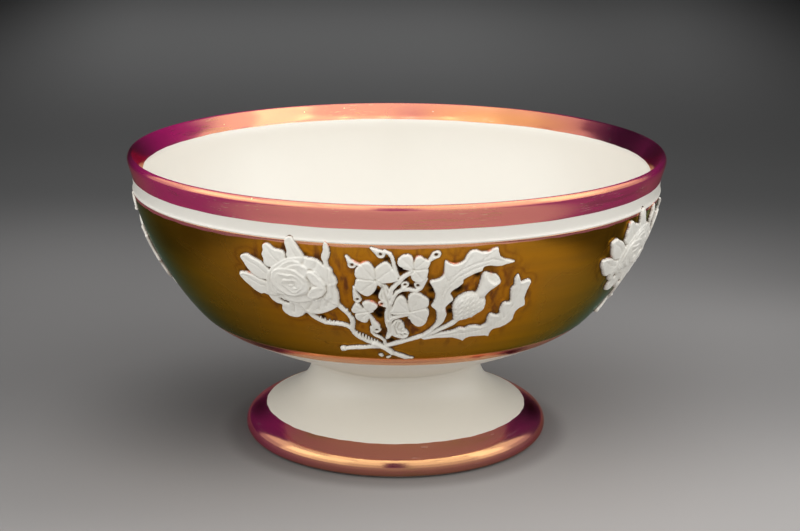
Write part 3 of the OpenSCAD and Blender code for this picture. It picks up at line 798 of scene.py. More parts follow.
thistle_veins = (
    ((9, 12.8), (11.6, 16.5), (12.3, 20), (11.8, 24), (12, 28), (13.2, 32), (16, 35.2), (20, 37.3),
     (24, 38.2), (28, 37.2)),
    ((12, 27), (13.4, 30.5), (16, 33.4), (19.5, 35.6), (23, 36.8)),
    ((12.4, 22), (12.6, 26), (14, 29.8)), ((13.2, 32), (11.4, 35.5)), ((16, 35.2), (18.6, 39.5)),
    ((21, 37.6), (24, 40.6)),
    ((10, 11), (15, 11.6), (20, 12), (25, 12.4), (28.6, 13.8), (31.4, 16.6), (32.8, 20.5), (33.4, 25),
     (33.6, 28.6)),
    ((31.4, 16.6), (29.6, 20.6)), ((32.8, 20.5), (32, 26.5)), ((25, 12.4), (27, 17)))
thistle_bulb = (
    (15.5, 21), (15.3, 23.5), (16, 25.5), (17.3, 26.8), (19, 27.5), (20.8, 27.3), (22.5, 26.3),
    (24, 25), (24.6, 23), (24.3, 21), (23, 19.5), (21, 18), (19, 17.3), (17.5, 17), (16.3, 17.5),
    (16, 19))
thistle_neck = (
    (21, 26.4), (21.4, 28.5), (21.7, 31), (21.9, 33.3), (22.5, 34.1), (24.5, 33.8), (26, 32.8),
    (27, 31.5), (27.5, 30.2), (26.5, 29), (25, 27.7), (24.2, 26.5), (23.6, 25.2))
# Scales of the bulb: their width and length, and where their rows start and which way they run
scale_w, scale_l = 0.9, 2.7
bulb_root = (17.6, 18.4)
bulb_lean = (0.47, 0.88)
# Dish at the open end of the neck: its middle, half sizes, the way it leans and its depth
thistle_dish = np.array([24.9, 32.0])
dish_size = (1.15, 2.6)
dish_lean = np.array([[0.77, 0.64], [-0.64, 0.77]])
dish_depth = 0.8
thistle_stem = (
    (17.6, 18.2), (16.3, 16.5), (14, 14.8), (11.5, 13.3), (9, 11.9), (6.5, 10.8), (3.5, 9.7), (1, 8.6),
    (-1.5, 7.5), (-4, 6.8), (-7.5, 6.3), (-11, 5.8), (-14, 5.3), (-16.4, 4.8))
thistle_stem_knob = ((-15.9, 4.9), (-16.6, 4.75))


def heart_swirl(spots):
    """Swirl of petals at the rose's heart: how far out each spot is, 1 at its edge, and its height."""
    off = (spots - carried([heart], heart_lift)) / heart_size
    off -= np.hypot(*off.T)[:, None] * np.array(heart_drift) / heart_size
    from_heart, turned_by = np.hypot(*off.T), np.arctan2(off[:, 1], off[:, 0])
    ruffle = (0.16 * np.sin(3 * turned_by + 5 * from_heart)
              + 0.1 * np.sin(5 * turned_by - 3 * from_heart + 1))
    rise = (heart_turns * from_heart - turned_by / (2 * math.pi) + ruffle) % 1
    open_by = 0.30 + 0.12 * np.sin(2 * turned_by + 4 * from_heart + 2)
    eye_dip = 0.3 * np.exp(-(from_heart / 0.15) ** 2)
    return from_heart, heart_h - 0.25 * from_heart ** 2 + open_by * rise ** 1.4 - eye_dip


def rose_relief(spots):
    """Rose with its leaves, bud, thorny stems and stray dots of slip."""
    clay = Relief(spots)
    for outline in rose_leaves:
        clay.leaf(outline, rose_leaf_h)
    for vein in rose_leaf_veins:
        clay.groove(vein, *rose_vein_cut)
    flower = Relief(spots)
    flower.height += bloom_h
    for outline, relief in petals:
        flower.petal(outline, relief)
    from_heart, swirl = heart_swirl(flower.spots)
    flower.height = np.where(from_heart < 1, swirl, flower.height)
    for fold in petal_folds:
        flower.groove(fold, *petal_fold_cut)
    flower.groove(rose_crease, *rose_crease_cut)
    edge = inside_by(spots, rounded(carried(bloom, bloom_lift)))
    clay.pile(edge, flower.height * dome(edge, bloom_edge_w))
    clay.groove(rose_slit, *rose_slit_cut)
    for line, half_width in rose_stems:
        clay.stem(line, half_width, rose_stem_h)
    clay.stem(rose_crossing, rose_tail_r, rose_crossing_h)
    clay.stem(rose_tail, rose_tail_r, rose_stem_h, rose_tail_end_r)
    clay.leaf(rose_tail_end, rose_tail_end_h)
    for start, stop, count in thorn_runs:
        for share in np.linspace(0, 1, count):
            thorn = np.array(start) + (np.array(stop) - start) * share
            clay.stem((thorn + thorn_start, thorn + thorn_end), thorn_root_r, thorn_h, thorn_tip_r)
    for x, y, r in stray_slip:
        clay.stem(((x, y), (x + 0.5, y + 0.3)), r, stray_slip_h)
    return clay


def shamrock_relief(spots):
    """Shamrocks on a fluted stem, with buds, tendrils and a curled leaf."""
    clay = Relief(spots)
    clay.leaf(shamrock_stem, shamrock_stem_h)
    for flute in shamrock_flutes:
        clay.groove(flute, *flute_cut)
    for line, half_width in shamrock_ribbons:
        clay.ribbon(line, half_width, shamrock_stem_h)
    for line in shamrock_tendrils:
        clay.stem(line, tendril_r, tendril_h)
    clay.leaf(curled_leaf, shamrock_leaf_h)
    for crease in curled_creases:
        clay.groove(crease, *curl_cut)
    for centre, leaflets in trefoils:
        centre = np.array(centre)
        for outline in leaflets:
            clay.leaf(outline, shamrock_leaf_h)
            middle = np.mean(outline[1:], axis=0)
            clay.groove((centre, centre + 1.3 * (middle - centre)), *leaflet_middle_cut)
        sides = [np.array(side) for outline in leaflets for side in (outline[1], outline[-1])]
        for side in sides:
            clay.stem((centre, centre + 0.8 * (side - centre)), leaflet_rib_r, shamrock_stem_h)
        for side in sides:
            clay.groove((centre, side), *leaflet_side_cut)
    clay.leaf(bud_side, bud_side_h)
    for line, r in shamrock_buds:
        clay.bud(line, r, shamrock_stem_h)
    for line, _ in shamrock_buds:
        clay.pit(line[-1], bud_eye_r)
    clay.pit(curled_eye, curled_eye_r)
    return clay


def thistle_relief(spots):
    """Thistle with a scaled bulb, a flared neck, two jagged leaves and its stem."""
    clay = Relief(spots)
    for outline in (thistle_leaf_up, thistle_leaf_side):
        clay.leaf(outline, thistle_leaf_h)
    for vein in thistle_veins:
        clay.groove(vein, *thistle_vein_cut)
    clay.stem(thistle_stem, thistle_stem_r, thistle_stem_h, thistle_stem_end_r)
    clay.stem(thistle_stem_knob, thistle_knob_r, thistle_leaf_h)
    edge = inside_by(spots, rounded(carried(thistle_neck, 0.7)))
    along_neck = np.clip((spots[:, 1] - 25) / 9, 0, 1)
    clay.pile(edge, (1.5 - 0.2 * along_neck) * dome(edge, 1.6))
    off = (spots - carried([thistle_dish], 1.1)) @ dish_lean.T / dish_size
    dish = np.clip(1 - (off ** 2).sum(1), 0, 1)
    clay.height -= dish_depth * np.sqrt(dish) * (clay.height > 0)
    edge = inside_by(spots, rounded(carried(thistle_bulb, 0.9)))
    along = (spots - bulb_root) @ bulb_lean
    across = (spots - bulb_root) @ (bulb_lean[1], -bulb_lean[0])
    row = np.floor(across / scale_w)
    tip = ((along + 0.5 * scale_l * (row % 2)) / scale_l) % 1.0
    scales = np.clip(1 - 1.6 * np.abs(2 * (across / scale_w - row) - 1), 0, 1) * tip
    clay.pile(edge, 0.5 * dome(edge, 0.4) + 1.2 * dome(edge, 4.6) + 0.6 * scales * dome(edge, 1.2))
    return clay


def lumps(spots):
    """Slight unevenness of clay pressed by hand."""
    x, y = spots.T
    return (np.sin(2.1 * x + 0.7 * y) * np.sin(1.3 * y - 0.9 * x + 1) + 0.6 * np.sin(4.7 * x - 2.2 * y)
            * np.sin(3.9 * y + 1.7 * x)) / 1.6


def blurred(grid, reach):
    """Grid smoothed over a reach in cells, row by row and then column by column."""
    margin = 3 * reach
    weights = np.exp(-0.5 * (np.arange(-margin, margin + 1) / reach) ** 2)
    weights /= weights.sum()

    def smoothed(row):
        return np.convolve(np.pad(row, margin, mode="edge"), weights, "valid")

    for axis in (0, 1):
        grid = np.apply_along_axis(smoothed, axis, grid)
    return grid


def press_sprig(name, relief_of, low, high):
    """Sheet of clay raised from a grid, trimmed to the sprig, thickened and laid on the belly."""
    columns, rows = (int((b - a) / clay_grid) for a, b in zip(low, high))
    bpy.ops.object.select_all(action="DESELECT")
    bpy.ops.mesh.primitive_grid_add(x_subdivisions=columns, y_subdivisions=rows, size=1)
    piece = bpy.context.object
    piece.name = piece.data.name = name
    spots = low + (points_of(piece)[:, :2] + 0.5) * (np.array(high) - low)
    clay = relief_of(spots)
    shape = (rows + 1, columns + 1)
    smooth = blurred(clay.height.reshape(shape), 1).ravel()
    broad = blurred(np.where(clay.edge > 0, clay.height, 0).reshape(shape), 4).ravel()
    inside = clay.edge > 0
    run_out = np.clip(1 + clay.edge / fillet_reach, 0, 1) ** 2 * fillet_h
    sunk = np.clip(-clay.edge - fillet_reach, 0, 1)
    top = fillet_h + smooth + hand_lumps * lumps(spots) * dome(clay.edge, 1)
    lift = np.where(inside, top, run_out - sunk)
    # Painted red highlights near the listed spots, low on the clay's edge
    bright = np.max([np.exp(-((spots - (x, y)) ** 2).sum(1) / r ** 2) for x, y, r in painted_glints], axis=0)
    marks = {
        "lustred": np.clip((lustre_up - lift) / lustre_fade, 0, 1),
        "painted_glint": bright * np.clip((glint_up - lift) / glint_fade, 0, 1),
        "hollow": np.clip((broad - smooth - shade_from) / shade_over, 0, 1) * inside,
    }
    for mark, values in marks.items():
        put_mark(piece, mark, values)
    co = lay(sprig_bed, spots[:, 0] / drawn_r, at_turn + spots[:, 1], film_proud + lift)
    piece.data.vertices.foreach_set("co", co.ravel())
    bpy.ops.object.mode_set(mode="EDIT")
    bpy.ops.mesh.select_mode(type="VERT")
    bpy.ops.object.mode_set(mode="OBJECT")
    piece.data.polygons.foreach_set("select", np.zeros(len(piece.data.polygons), bool))
    piece.data.edges.foreach_set("select", np.zeros(len(piece.data.edges), bool))
    piece.data.vertices.foreach_set("select", clay.edge < -fillet_reach - fillet_margin)
    bpy.ops.object.mode_set(mode="EDIT")
    bpy.ops.mesh.delete(type="VERT")
    bpy.ops.mesh.select_all(action="SELECT")
    bpy.ops.mesh.normals_make_consistent(inside=False)
    bpy.ops.object.mode_set(mode="OBJECT")
    back = piece.modifiers.new("back", "SOLIDIFY")
    back.thickness = clay_back * MM
    back.offset = -1
    bpy.ops.object.modifier_apply(modifier=back.name)
    bpy.ops.object.shade_smooth()
    return piece


# Finishes

class Finish:
    """Node board of one material, with its shader and its coordinates."""

    def __init__(self, name):
        self.material = bpy.data.materials.new(name)
        self.material.use_nodes = True
        self.tree = self.material.node_tree
        self.shader = self.tree.nodes["Principled BSDF"]
        self.coords = self.tree.nodes.new("ShaderNodeTexCoord").outputs["Object"]

    def set(self, **values):
        """Constants on the shader's own sockets."""
        for socket, value in values.items():
            self.shader.inputs[socket.replace("_", " ")].default_value = value

    def put(self, source, socket):
        """Output that drives one of the shader's sockets."""
        self.tree.links.new(source, self.shader.inputs[socket])

    def group(self, tree, **values):
        """Value of an effect, with this finish's own settings."""
        node = self.tree.nodes.new("ShaderNodeGroup")
        node.node_tree = tree
        self.tree.links.new(self.coords, node.inputs["Vector"])
        for socket, value in values.items():
            node.inputs[socket.replace("_", " ")].default_value = value
        return node.outputs[0]

    def attribute(self, name):
        """Value that was marked on the piece."""
        node = self.tree.nodes.new("ShaderNodeAttribute")
        node.attribute_name = name
        return node.outputs["Fac"]

    def feed(self, source, socket):
        """Gives a socket an output or a constant."""
        if isinstance(source, bpy.types.NodeSocket):
            self.tree.links.new(source, socket)
        else:
            socket.default_value = source

    def mix(self, factor, a, b):
        """Colour from a to b; each may be a colour or an output."""
        node = self.tree.nodes.new("ShaderNodeMix")
        node.data_type = "RGBA"
        for source, i in ((factor, 0), (a, 6), (b, 7)):
            self.feed(source, node.inputs[i])
        return node.outputs[2]

    def between(self, value, low, high, out_low=0.0, out_high=1.0):
        """Value carried from one range to another and held there."""
        node = self.tree.nodes.new("ShaderNodeMapRange")
        node.interpolation_type = "SMOOTHSTEP"
        self.tree.links.new(value, node.inputs["Value"])
        for i, number in zip((1, 2, 3, 4), (low, high, out_low, out_high)):
            node.inputs[i].default_value = number
        return node.outputs["Result"]

    def place(self):
        """X, Y and Z on the piece, in metres."""
        node = self.tree.nodes.new("ShaderNodeSeparateXYZ")
        self.tree.links.new(self.coords, node.inputs[0])
        return node.outputs

    def maths(self, operation, a, b=0.0):
        node = self.tree.nodes.new("ShaderNodeMath")
        node.operation = operation
        for i, source in enumerate((a, b)):
            self.feed(source, node.inputs[i])
        return node.outputs[0]

    def bump(self, value, depth):
        """Normal of a surface with this relief, in metres."""
        node = self.tree.nodes.new("ShaderNodeBump")
        node.inputs["Distance"].default_value = depth
        self.tree.links.new(value, node.inputs["Height"])
        return node.outputs["Normal"]


def effect(title, inputs):
    """Empty node group that takes a vector and numbers and gives one value."""
    tree = bpy.data.node_groups.new(title, "ShaderNodeTree")
    tree.interface.new_socket("Vector", in_out="INPUT", socket_type="NodeSocketVector")
    for name, value in inputs.items():
        socket = tree.interface.new_socket(name, in_out="INPUT", socket_type="NodeSocketFloat")
        socket.default_value = value
    tree.interface.new_socket("Value", in_out="OUTPUT", socket_type="NodeSocketFloat")
    return tree, tree.nodes.new("NodeGroupInput"), tree.nodes.new("NodeGroupOutput")


def link_all(tree, pairs):
    """Links each output of a group to its input."""
    for source, target in pairs:
        tree.links.new(source, target)


def streaks_effect():
    """Noise drawn out round the bowl, as a brush or a sponge on the wheel leaves it."""
    tree, given, result = effect("round_streaks", {"Across": 40.0, "Up": 900.0, "Detail": 3.0})
    spread = tree.nodes.new("ShaderNodeCombineXYZ")
    scaled = tree.nodes.new("ShaderNodeVectorMath")
    scaled.operation = "MULTIPLY"
    noise = tree.nodes.new("ShaderNodeTexNoise")
    noise.inputs["Scale"].default_value = 1.0
    link_all(tree, (
        (given.outputs["Across"], spread.inputs[0]),
        (given.outputs["Across"], spread.inputs[1]),
        (given.outputs["Up"], spread.inputs[2]),
        (given.outputs["Vector"], scaled.inputs[0]),
        (spread.outputs[0], scaled.inputs[1]),
        (scaled.outputs[0], noise.inputs["Vector"]),
        (given.outputs["Detail"], noise.inputs["Detail"]),
        (noise.outputs[0], result.inputs[0])))
    return tree


def clouds_effect():
    """Soft patches of one size."""
    tree, given, result = effect("clouds", {"Scale": 60.0, "Detail": 3.0, "Twist": 0.0})
    noise = tree.nodes.new("ShaderNodeTexNoise")
    link_all(tree, (
        (given.outputs["Vector"], noise.inputs["Vector"]),
        (given.outputs["Scale"], noise.inputs["Scale"]),
        (given.outputs["Detail"], noise.inputs["Detail"]),
        (given.outputs["Twist"], noise.inputs["Distortion"]),
        (noise.outputs[0], result.inputs[0])))
    return tree


def flecks_effect():
    """Scattered small dots: 1 in a dot and 0 elsewhere."""
    tree, given, result = effect("flecks", {"Scale": 300.0, "Size": 0.12, "Share": 0.15})
    cells = tree.nodes.new("ShaderNodeTexVoronoi")
    small = tree.nodes.new("ShaderNodeMath")
    small.operation = "LESS_THAN"
    chosen = tree.nodes.new("ShaderNodeMath")
    chosen.operation = "LESS_THAN"
    both = tree.nodes.new("ShaderNodeMath")
    both.operation = "MULTIPLY"
    pick = tree.nodes.new("ShaderNodeSeparateColor")
    link_all(tree, (
        (given.outputs["Vector"], cells.inputs["Vector"]),
        (given.outputs["Scale"], cells.inputs["Scale"]),
        (cells.outputs["Distance"], small.inputs[0]),
        (given.outputs["Size"], small.inputs[1]),
        (cells.outputs["Color"], pick.inputs[0]),
        (pick.outputs[0], chosen.inputs[0]),
        (given.outputs["Share"], chosen.inputs[1]),
        (small.outputs[0], both.inputs[0]),
        (chosen.outputs[0], both.inputs[1]),
        (both.outputs[0], result.inputs[0])))
    return tree


streaks = streaks_effect()
clouds = clouds_effect()
flecks = flecks_effect()


# Colours of the glaze, the clay, the lustres and the paper, with painted shade, highlights, reflections and
# shadows among them
cream_low = (0.80, 0.76, 0.665, 1)
cream_high = (0.80, 0.772, 0.70, 1)
speck_brown = (0.20, 0.15, 0.10, 1)
clay_white = (0.88, 0.858, 0.785, 1)
clay_dull = (0.84, 0.813, 0.735, 1)
clay_shade = (0.55, 0.50, 0.41, 1)
lustred_edge = (0.10, 0.042, 0.014, 1)
painted_glint_red = (0.80, 0.20, 0.07, 1)
bronze_gold = (0.64, 0.27, 0.014, 1)
bronze_brushed = (0.55, 0.235, 0.018, 1)
bronze_olive = (0.46, 0.22, 0.032, 1)
bronze_smudge = (0.12, 0.05, 0.016, 1)
bronze_warm = (0.66, 0.22, 0.014, 1)
bronze_drip = (0.22, 0.075, 0.025, 1)
bronze_tide = (0.22, 0.05, 0.012, 1)
bronze_pool_and_shade = (0.010, 0.005, 0.004, 1)
bronze_glance = (0.25, 0.55, 0.48, 1)
pink_thin = (0.60, 0.004, 0.20, 1)
pink_thick_and_side_shade = (0.10, 0.002, 0.045, 1)
pink_shine = (1.0, 0.58, 0.23, 1)
copper_thin = (0.38, 0.09, 0.08, 1)
copper_thick = (0.12, 0.02, 0.04, 1)
copper_shine = (1.0, 0.66, 0.40, 1)
bright_reflection_orange = (0.46, 0.015, 0.0, 1)
lustre_scuffed = (0.75, 0.56, 0.50, 1)
lustre_worn = (0.33, 0.125, 0.11, 1)
dark_reflection_purple = (0.22, 0.02, 0.12, 1)
lustre_nick = (0.85, 0.74, 0.68, 1)
# The paper's greys paint the fall of light and shade over the floor
paper_front = (0.58, 0.57, 0.56, 1)
paper_near = (0.39, 0.376, 0.367, 1)
paper_beside = (0.265, 0.257, 0.253, 1)
paper_shaded_behind = (0.08, 0.08, 0.08, 1)
paper_far = (0.42, 0.42, 0.42, 1)
painted_left_shadow = (0.05, 0.05, 0.05, 1)
painted_side_dark = (0.04, 0.04, 0.04, 1)
painted_right_shade = (0.03, 0.03, 0.03, 1)
painted_lee_shadow = (0.02, 0.02, 0.02, 1)
painted_foot_shadow = (0.03, 0.028, 0.027, 1)
# A lustre film mirrors like a metal under its own colour, so its index is high
lustre_index = 6.5
glaze_index = 1.45
# Where the painted shadow behind the foot lies on the floor, in metres
lee_x, lee_y = -0.045, 0.012


def cream_glaze():
    """Cream glaze, warmer on the foot, with a few brown specks."""
    finish = Finish("cream_glaze")
    up = finish.place()["Z"]
    tone = finish.mix(finish.between(up, 0.015, 0.06), cream_low, cream_high)
    speck = finish.group(flecks, Scale=190, Size=0.075, Share=0.012)
    finish.put(finish.mix(speck, tone, speck_brown), "Base Color")
    finish.put(finish.bump(finish.group(streaks, Across=14, Up=260, Detail=1), 0.00002), "Normal")
    finish.set(IOR=glaze_index, Roughness=0.3)
    return finish.material


def sprig_clay():
    """White clay with painted shade in its hollows, lustre run up against its edge and painted red
    highlights.
    """
    finish = Finish("sprig_clay")
    lustred, hollow = finish.attribute("lustred"), finish.attribute("hollow")
    # Painted red highlights, broken up
    broken = finish.between(finish.group(clouds, Scale=700, Detail=3), 0.38, 0.6)
    painted_glint = finish.maths("MULTIPLY", finish.attribute("painted_glint"), broken)
    patch = finish.between(finish.group(clouds, Scale=160, Detail=3), 0.35, 0.7)
    tone = finish.mix(patch, clay_white, clay_dull)
    # Painted shade in the clay's recesses
    tone = finish.mix(finish.maths("MULTIPLY", hollow, 0.75), tone, clay_shade)
    tone = finish.mix(lustred, tone, lustred_edge)
    finish.put(finish.mix(painted_glint, tone, painted_glint_red), "Base Color")
    finish.put(finish.maths("MULTIPLY", lustred, 0.7), "Metallic")
    finish.put(finish.between(lustred, 0, 1, 0.36, 0.18), "Roughness")
    finish.put(finish.bump(finish.group(clouds, Scale=900, Detail=2), 0.000025), "Normal")
    return finish.material


def bronze_lustre():
    """Olive bronze ground, brushed on, smudged near the clay, and painted nearly black where lustre ran
    together and where shade lies in nooks and beside the clay.
    """
    finish = Finish("bronze_lustre")
    brush = finish.between(finish.group(streaks, Across=30, Up=420, Detail=4), 0.3, 0.72)
    patch = finish.between(finish.group(clouds, Scale=28, Detail=4, Twist=0.8), 0.35, 0.68)
    tone = finish.mix(brush, bronze_gold, bronze_brushed)
    tone = finish.mix(finish.maths("MULTIPLY", patch, 0.5), tone, bronze_olive)
    smudge = finish.between(finish.group(clouds, Scale=130, Detail=5, Twist=1.5), 0.66, 0.76)
    tone = finish.mix(finish.maths("MULTIPLY", smudge, 0.4), tone, bronze_smudge)
    drips = finish.between(finish.group(streaks, Across=330, Up=90, Detail=5), 0.5, 0.68)
    smudged = finish.attribute("smudged")
    tone = finish.mix(finish.maths("MULTIPLY", smudged, 0.5), tone, bronze_warm)
    tone = finish.mix(finish.maths("MULTIPLY", drips, smudged), tone, bronze_drip)
    broken = finish.between(finish.group(clouds, Scale=90, Detail=2), 0.4, 0.6)
    tide = finish.maths("MULTIPLY", finish.attribute("tide"), broken)
    tone = finish.mix(finish.maths("MULTIPLY", tide, 0.5), tone, bronze_tide)
    # Painted shade and deep lustre in nooks and beside the clay, nearly black
    uneven = finish.between(finish.group(clouds, Scale=220, Detail=3), 0.3, 0.5, 0.75, 1.0)
    pool_and_shade = finish.maths("MULTIPLY", finish.attribute("pool_and_shade"), uneven)
    finish.put(finish.mix(pool_and_shade, tone, bronze_pool_and_shade), "Base Color")
    finish.put(finish.between(patch, 0, 1, 0.2, 0.28), "Roughness")
    finish.put(finish.bump(finish.group(clouds, Scale=90, Detail=2), 0.00006), "Normal")
    finish.set(Metallic=1.0, Specular_Tint=bronze_glance)
    return finish.material


def lustre_coat(name, thin, thick_and_side_shade, shine):
    """Purplish film that mirrors copper, thin and deep in patches, painted darker at the sides, with spots
    of painted reflection and nicks down to the glaze.
    """
    finish = Finish(name)
    patch = finish.between(finish.group(clouds, Scale=35, Detail=3, Twist=0.7), 0.35, 0.68)
    brush = finish.between(finish.group(streaks, Across=60, Up=800, Detail=3), 0.35, 0.7)
    uneven = finish.between(finish.maths("MULTIPLY", brush, patch), 0, 1, -0.15, 0.25)
    # Deep film darkens the colour, and so does the shade painted at the sides
    tone = finish.mix(finish.maths("ADD", finish.attribute("thick_and_side_shade"), uneven), thin, thick_and_side_shade)
    # Painted bright reflection, orange
    tone = finish.mix(finish.attribute("painted_bright_reflection"), tone, bright_reflection_orange)
    nick = finish.group(flecks, Scale=800, Size=0.2, Share=0.007)
    scuff = finish.between(finish.group(streaks, Across=260, Up=2600, Detail=3), 0.6, 0.68, 0.0, 0.4)
    rubbed = finish.between(finish.group(clouds, Scale=50, Detail=2), 0.52, 0.62)
    tone = finish.mix(finish.maths("MULTIPLY", scuff, rubbed), tone, lustre_scuffed)
    tone = finish.mix(finish.attribute("worn"), tone, lustre_worn)
    # Painted dark reflections, purple
    painted_dark_reflection = finish.attribute("painted_dark_reflection")
    tone = finish.mix(painted_dark_reflection, tone, dark_reflection_purple)
    finish.put(finish.mix(nick, tone, lustre_nick), "Base Color")
    finish.put(painted_dark_reflection, "Metallic")
    finish.put(finish.between(patch, 0, 1, 0.15, 0.22), "Roughness")
    finish.put(finish.bump(finish.group(streaks, Across=70, Up=340, Detail=2), 0.00003), "Normal")
    finish.set(IOR=lustre_index, Specular_Tint=shine)
    return finish.material


def floor_paper():
    """Grey paper with painted light and shade: pale in front of the bowl, painted darker behind it and to
    its sides, with painted shadows round the foot.
    """
    finish = Finish("floor_paper")
    place = finish.place()
    x, y = place["X"], place["Y"]

    def square(value):
        return finish.maths("MULTIPLY", value, value)

    def distance(across, back):
        return finish.maths("SQRT", finish.maths("ADD", square(across), square(back)))

    # The greys paint the fall of light: pale in front, darker near, beside and behind the bowl, lighter far
    # off
    paper = finish.mix(finish.between(y, -0.4, -0.06), paper_front, paper_near)
    paper = finish.mix(finish.between(y, -0.08, 0.06), paper, paper_beside)
    paper = finish.mix(finish.between(y, 0.1, 0.36), paper, paper_shaded_behind)
    paper = finish.mix(finish.between(y, 0.45, 1.2), paper, paper_far)
    # Painted shadow to the left of the bowl
    left = finish.between(x, 0.1, -0.14, 0.0, 0.42)
    left = finish.maths("MULTIPLY", left, finish.between(y, 0.32, 0.1))
    left = finish.maths("MULTIPLY", left, finish.between(y, -0.16, -0.06))
    paper = finish.mix(left, paper, painted_left_shadow)
    # The painted shade at the sides opens out in front and behind
    opened = finish.maths("MULTIPLY", finish.maths("ABSOLUTE", y), -0.24)
    opened = finish.maths("ADD", opened, finish.maths("MULTIPLY", y, 0.12))
    off_side = finish.maths("ADD", finish.maths("ABSOLUTE", x), opened)
    paper = finish.mix(finish.between(off_side, 0.1, 0.3), paper, painted_side_dark)
    # Painted reflection: what the lustre mirrors past the sides is painted dark
    past_side = finish.between(off_side, 0.112, 0.175)
    past_side = finish.maths("MULTIPLY", past_side, finish.between(y, 0.16, 0.05))
    mirrored = finish.tree.nodes.new("ShaderNodeLightPath").outputs["Is Glossy Ray"]
    paper = finish.mix(finish.maths("MULTIPLY", past_side, mirrored), paper, painted_side_dark)
    # Painted shade behind the bowl on its right
    right = finish.maths("MULTIPLY", finish.between(x, 0.02, 0.2, 0.0, 0.32), finish.between(y, 0.1, 0.2))
    paper = finish.mix(right, paper, painted_right_shade)
    # Painted shadow behind the foot
    from_lee = distance(finish.maths("ADD", x, -lee_x), finish.maths("ADD", y, -lee_y))
    paper = finish.mix(finish.between(from_lee, 0.0, 0.08, 0.5, 0.0), paper, painted_lee_shadow)
    # Painted contact shadow round the foot
    under_foot = finish.between(distance(x, y), 0.05, 0.057, 0.35, 0.0)
    finish.put(finish.mix(under_foot, paper, painted_foot_shadow), "Base Color")
    finish.set(Roughness=0.9)
    return finish.material


# The object

def settle(piece, node, material):
    """Gives a piece its finish and its place in the frame."""
    piece.data.materials.clear()
    piece.data.materials.append(material)
    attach(piece, "root")
    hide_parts(node)


cream = cream_glaze()
clay = sprig_clay()
bronze = bronze_lustre()
pink = lustre_coat("pink_lustre", pink_thin, pink_thick_and_side_shade, pink_shine)
copper = lustre_coat("copper_lustre", copper_thin, copper_thick, copper_shine)

settle(bowl_body(), "bowl_body", cream)
settle(pedestal_foot(), "pedestal_foot", cream)
settle(luting_slip(), "luting_slip", cream)

# Films of lustre: the part of the profile that each covers, its rows and steps, and its colouring, whose
# darker sides and dark and bright spots are painted reflections
rim = film("rim_lustre", skin, at_band_foot, at_mouth + rim_band_in, rows=80, steps=320,
           proud=film_proud, unsteady=(0.12, 0.16), seed=1, thick_and_side_shade=(0.25, 0.06, 0.7),
           dark_reflections=((90, 18, 0.75, 0.5, 9), (112, 20, 0.8, 0.5, 9), (-84, 18, 0.8, 0.5, 9),
                    (176, 5, 0.3, 0.85, 0.25)),
           bright_reflections=((150, 26, 0.95, 0.85, 0.3),))
settle(rim, "rim_lustre_band", pink)
upper_line = film("belly_pink_line", skin, at_belly_top - upper_line_w, at_belly_top + upper_line_lap,
                  rows=6, steps=480, proud=line_proud, unsteady=(0.34, 0.12), seed=3,
                  thick_and_side_shade=(0.2, 0.2, 0.4), worn=0.6)
settle(upper_line, "belly_upper_line", pink)
ground = film("belly_bronze_ground", skin, at_turn - ground_low_lap, at_belly_top - ground_top_gap,
              rows=90, steps=900, proud=film_proud, unsteady=(0.0, 0.1), seed=5)
settle(ground, "belly_lustre_ground", bronze)
lower_line = film("belly_copper_line", skin, at_turn - lower_line_w, at_turn - lower_line_gap,
                  rows=24, steps=480, proud=line_proud, unsteady=(0.25, 0.2), seed=7,
                  dark_reflections=((-40, 9, 1.0, 0.75, 0.4), (35, 5, 1.0, 0.6, 0.35), (23, 2.2, 1.0, 0.7, 0.25),
                           (4, 14, 0.6, 0.55, 0.1), (-72, 18, 0.75, 0.5, 9), (66, 16, 0.75, 0.5, 9)))
settle(lower_line, "belly_lower_line", copper)
foot_band = film("foot_lustre", foot_skin, foot_band_gap, at_brim - foot_band_top_gap, rows=70, steps=320,
                 proud=film_proud, unsteady=(0.1, 0.2), seed=9, thick_and_side_shade=(0.3, 0.95, 0.6),
                 dark_reflections=((-84, 18, 0.75, 0.8, 0.5), (84, 20, 0.95, 0.8, 0.5),
                          (-78, 28, 0.55, 0.25, 0.45), (78, 30, 0.65, 0.25, 0.45)))
settle(foot_band, "foot_lustre_band", pink)

# Sprigs: how each is pressed, and the corners of the sheet of clay that it is pressed from
sprig_kinds = (
    ("rose", rose_relief, (-44.0, -1.6), (7.6, 46.2)),
    ("shamrock", shamrock_relief, (-13.4, 6.4), (12.4, 44.0)),
    ("thistle", thistle_relief, (-18.8, 2.6), (38.4, 43.2)))
for kind, relief_of, low, high in sprig_kinds:
    first = press_sprig(f"{kind}_sprig_clay_1", relief_of, np.array(low), np.array(high))
    for i, angle in enumerate(bouquet_angles, 1):
        piece = first
        if i > 1:
            piece = first.copy()
            piece.data = first.data.copy()
            piece.name = piece.data.name = f"{kind}_sprig_clay_{i}"
            piece.data.transform(Matrix.Rotation(math.radians(angle), 4, "Z"))
            bpy.context.scene.collection.objects.link(piece)
        settle(piece, f"{kind}_sprig_{i}", clay)


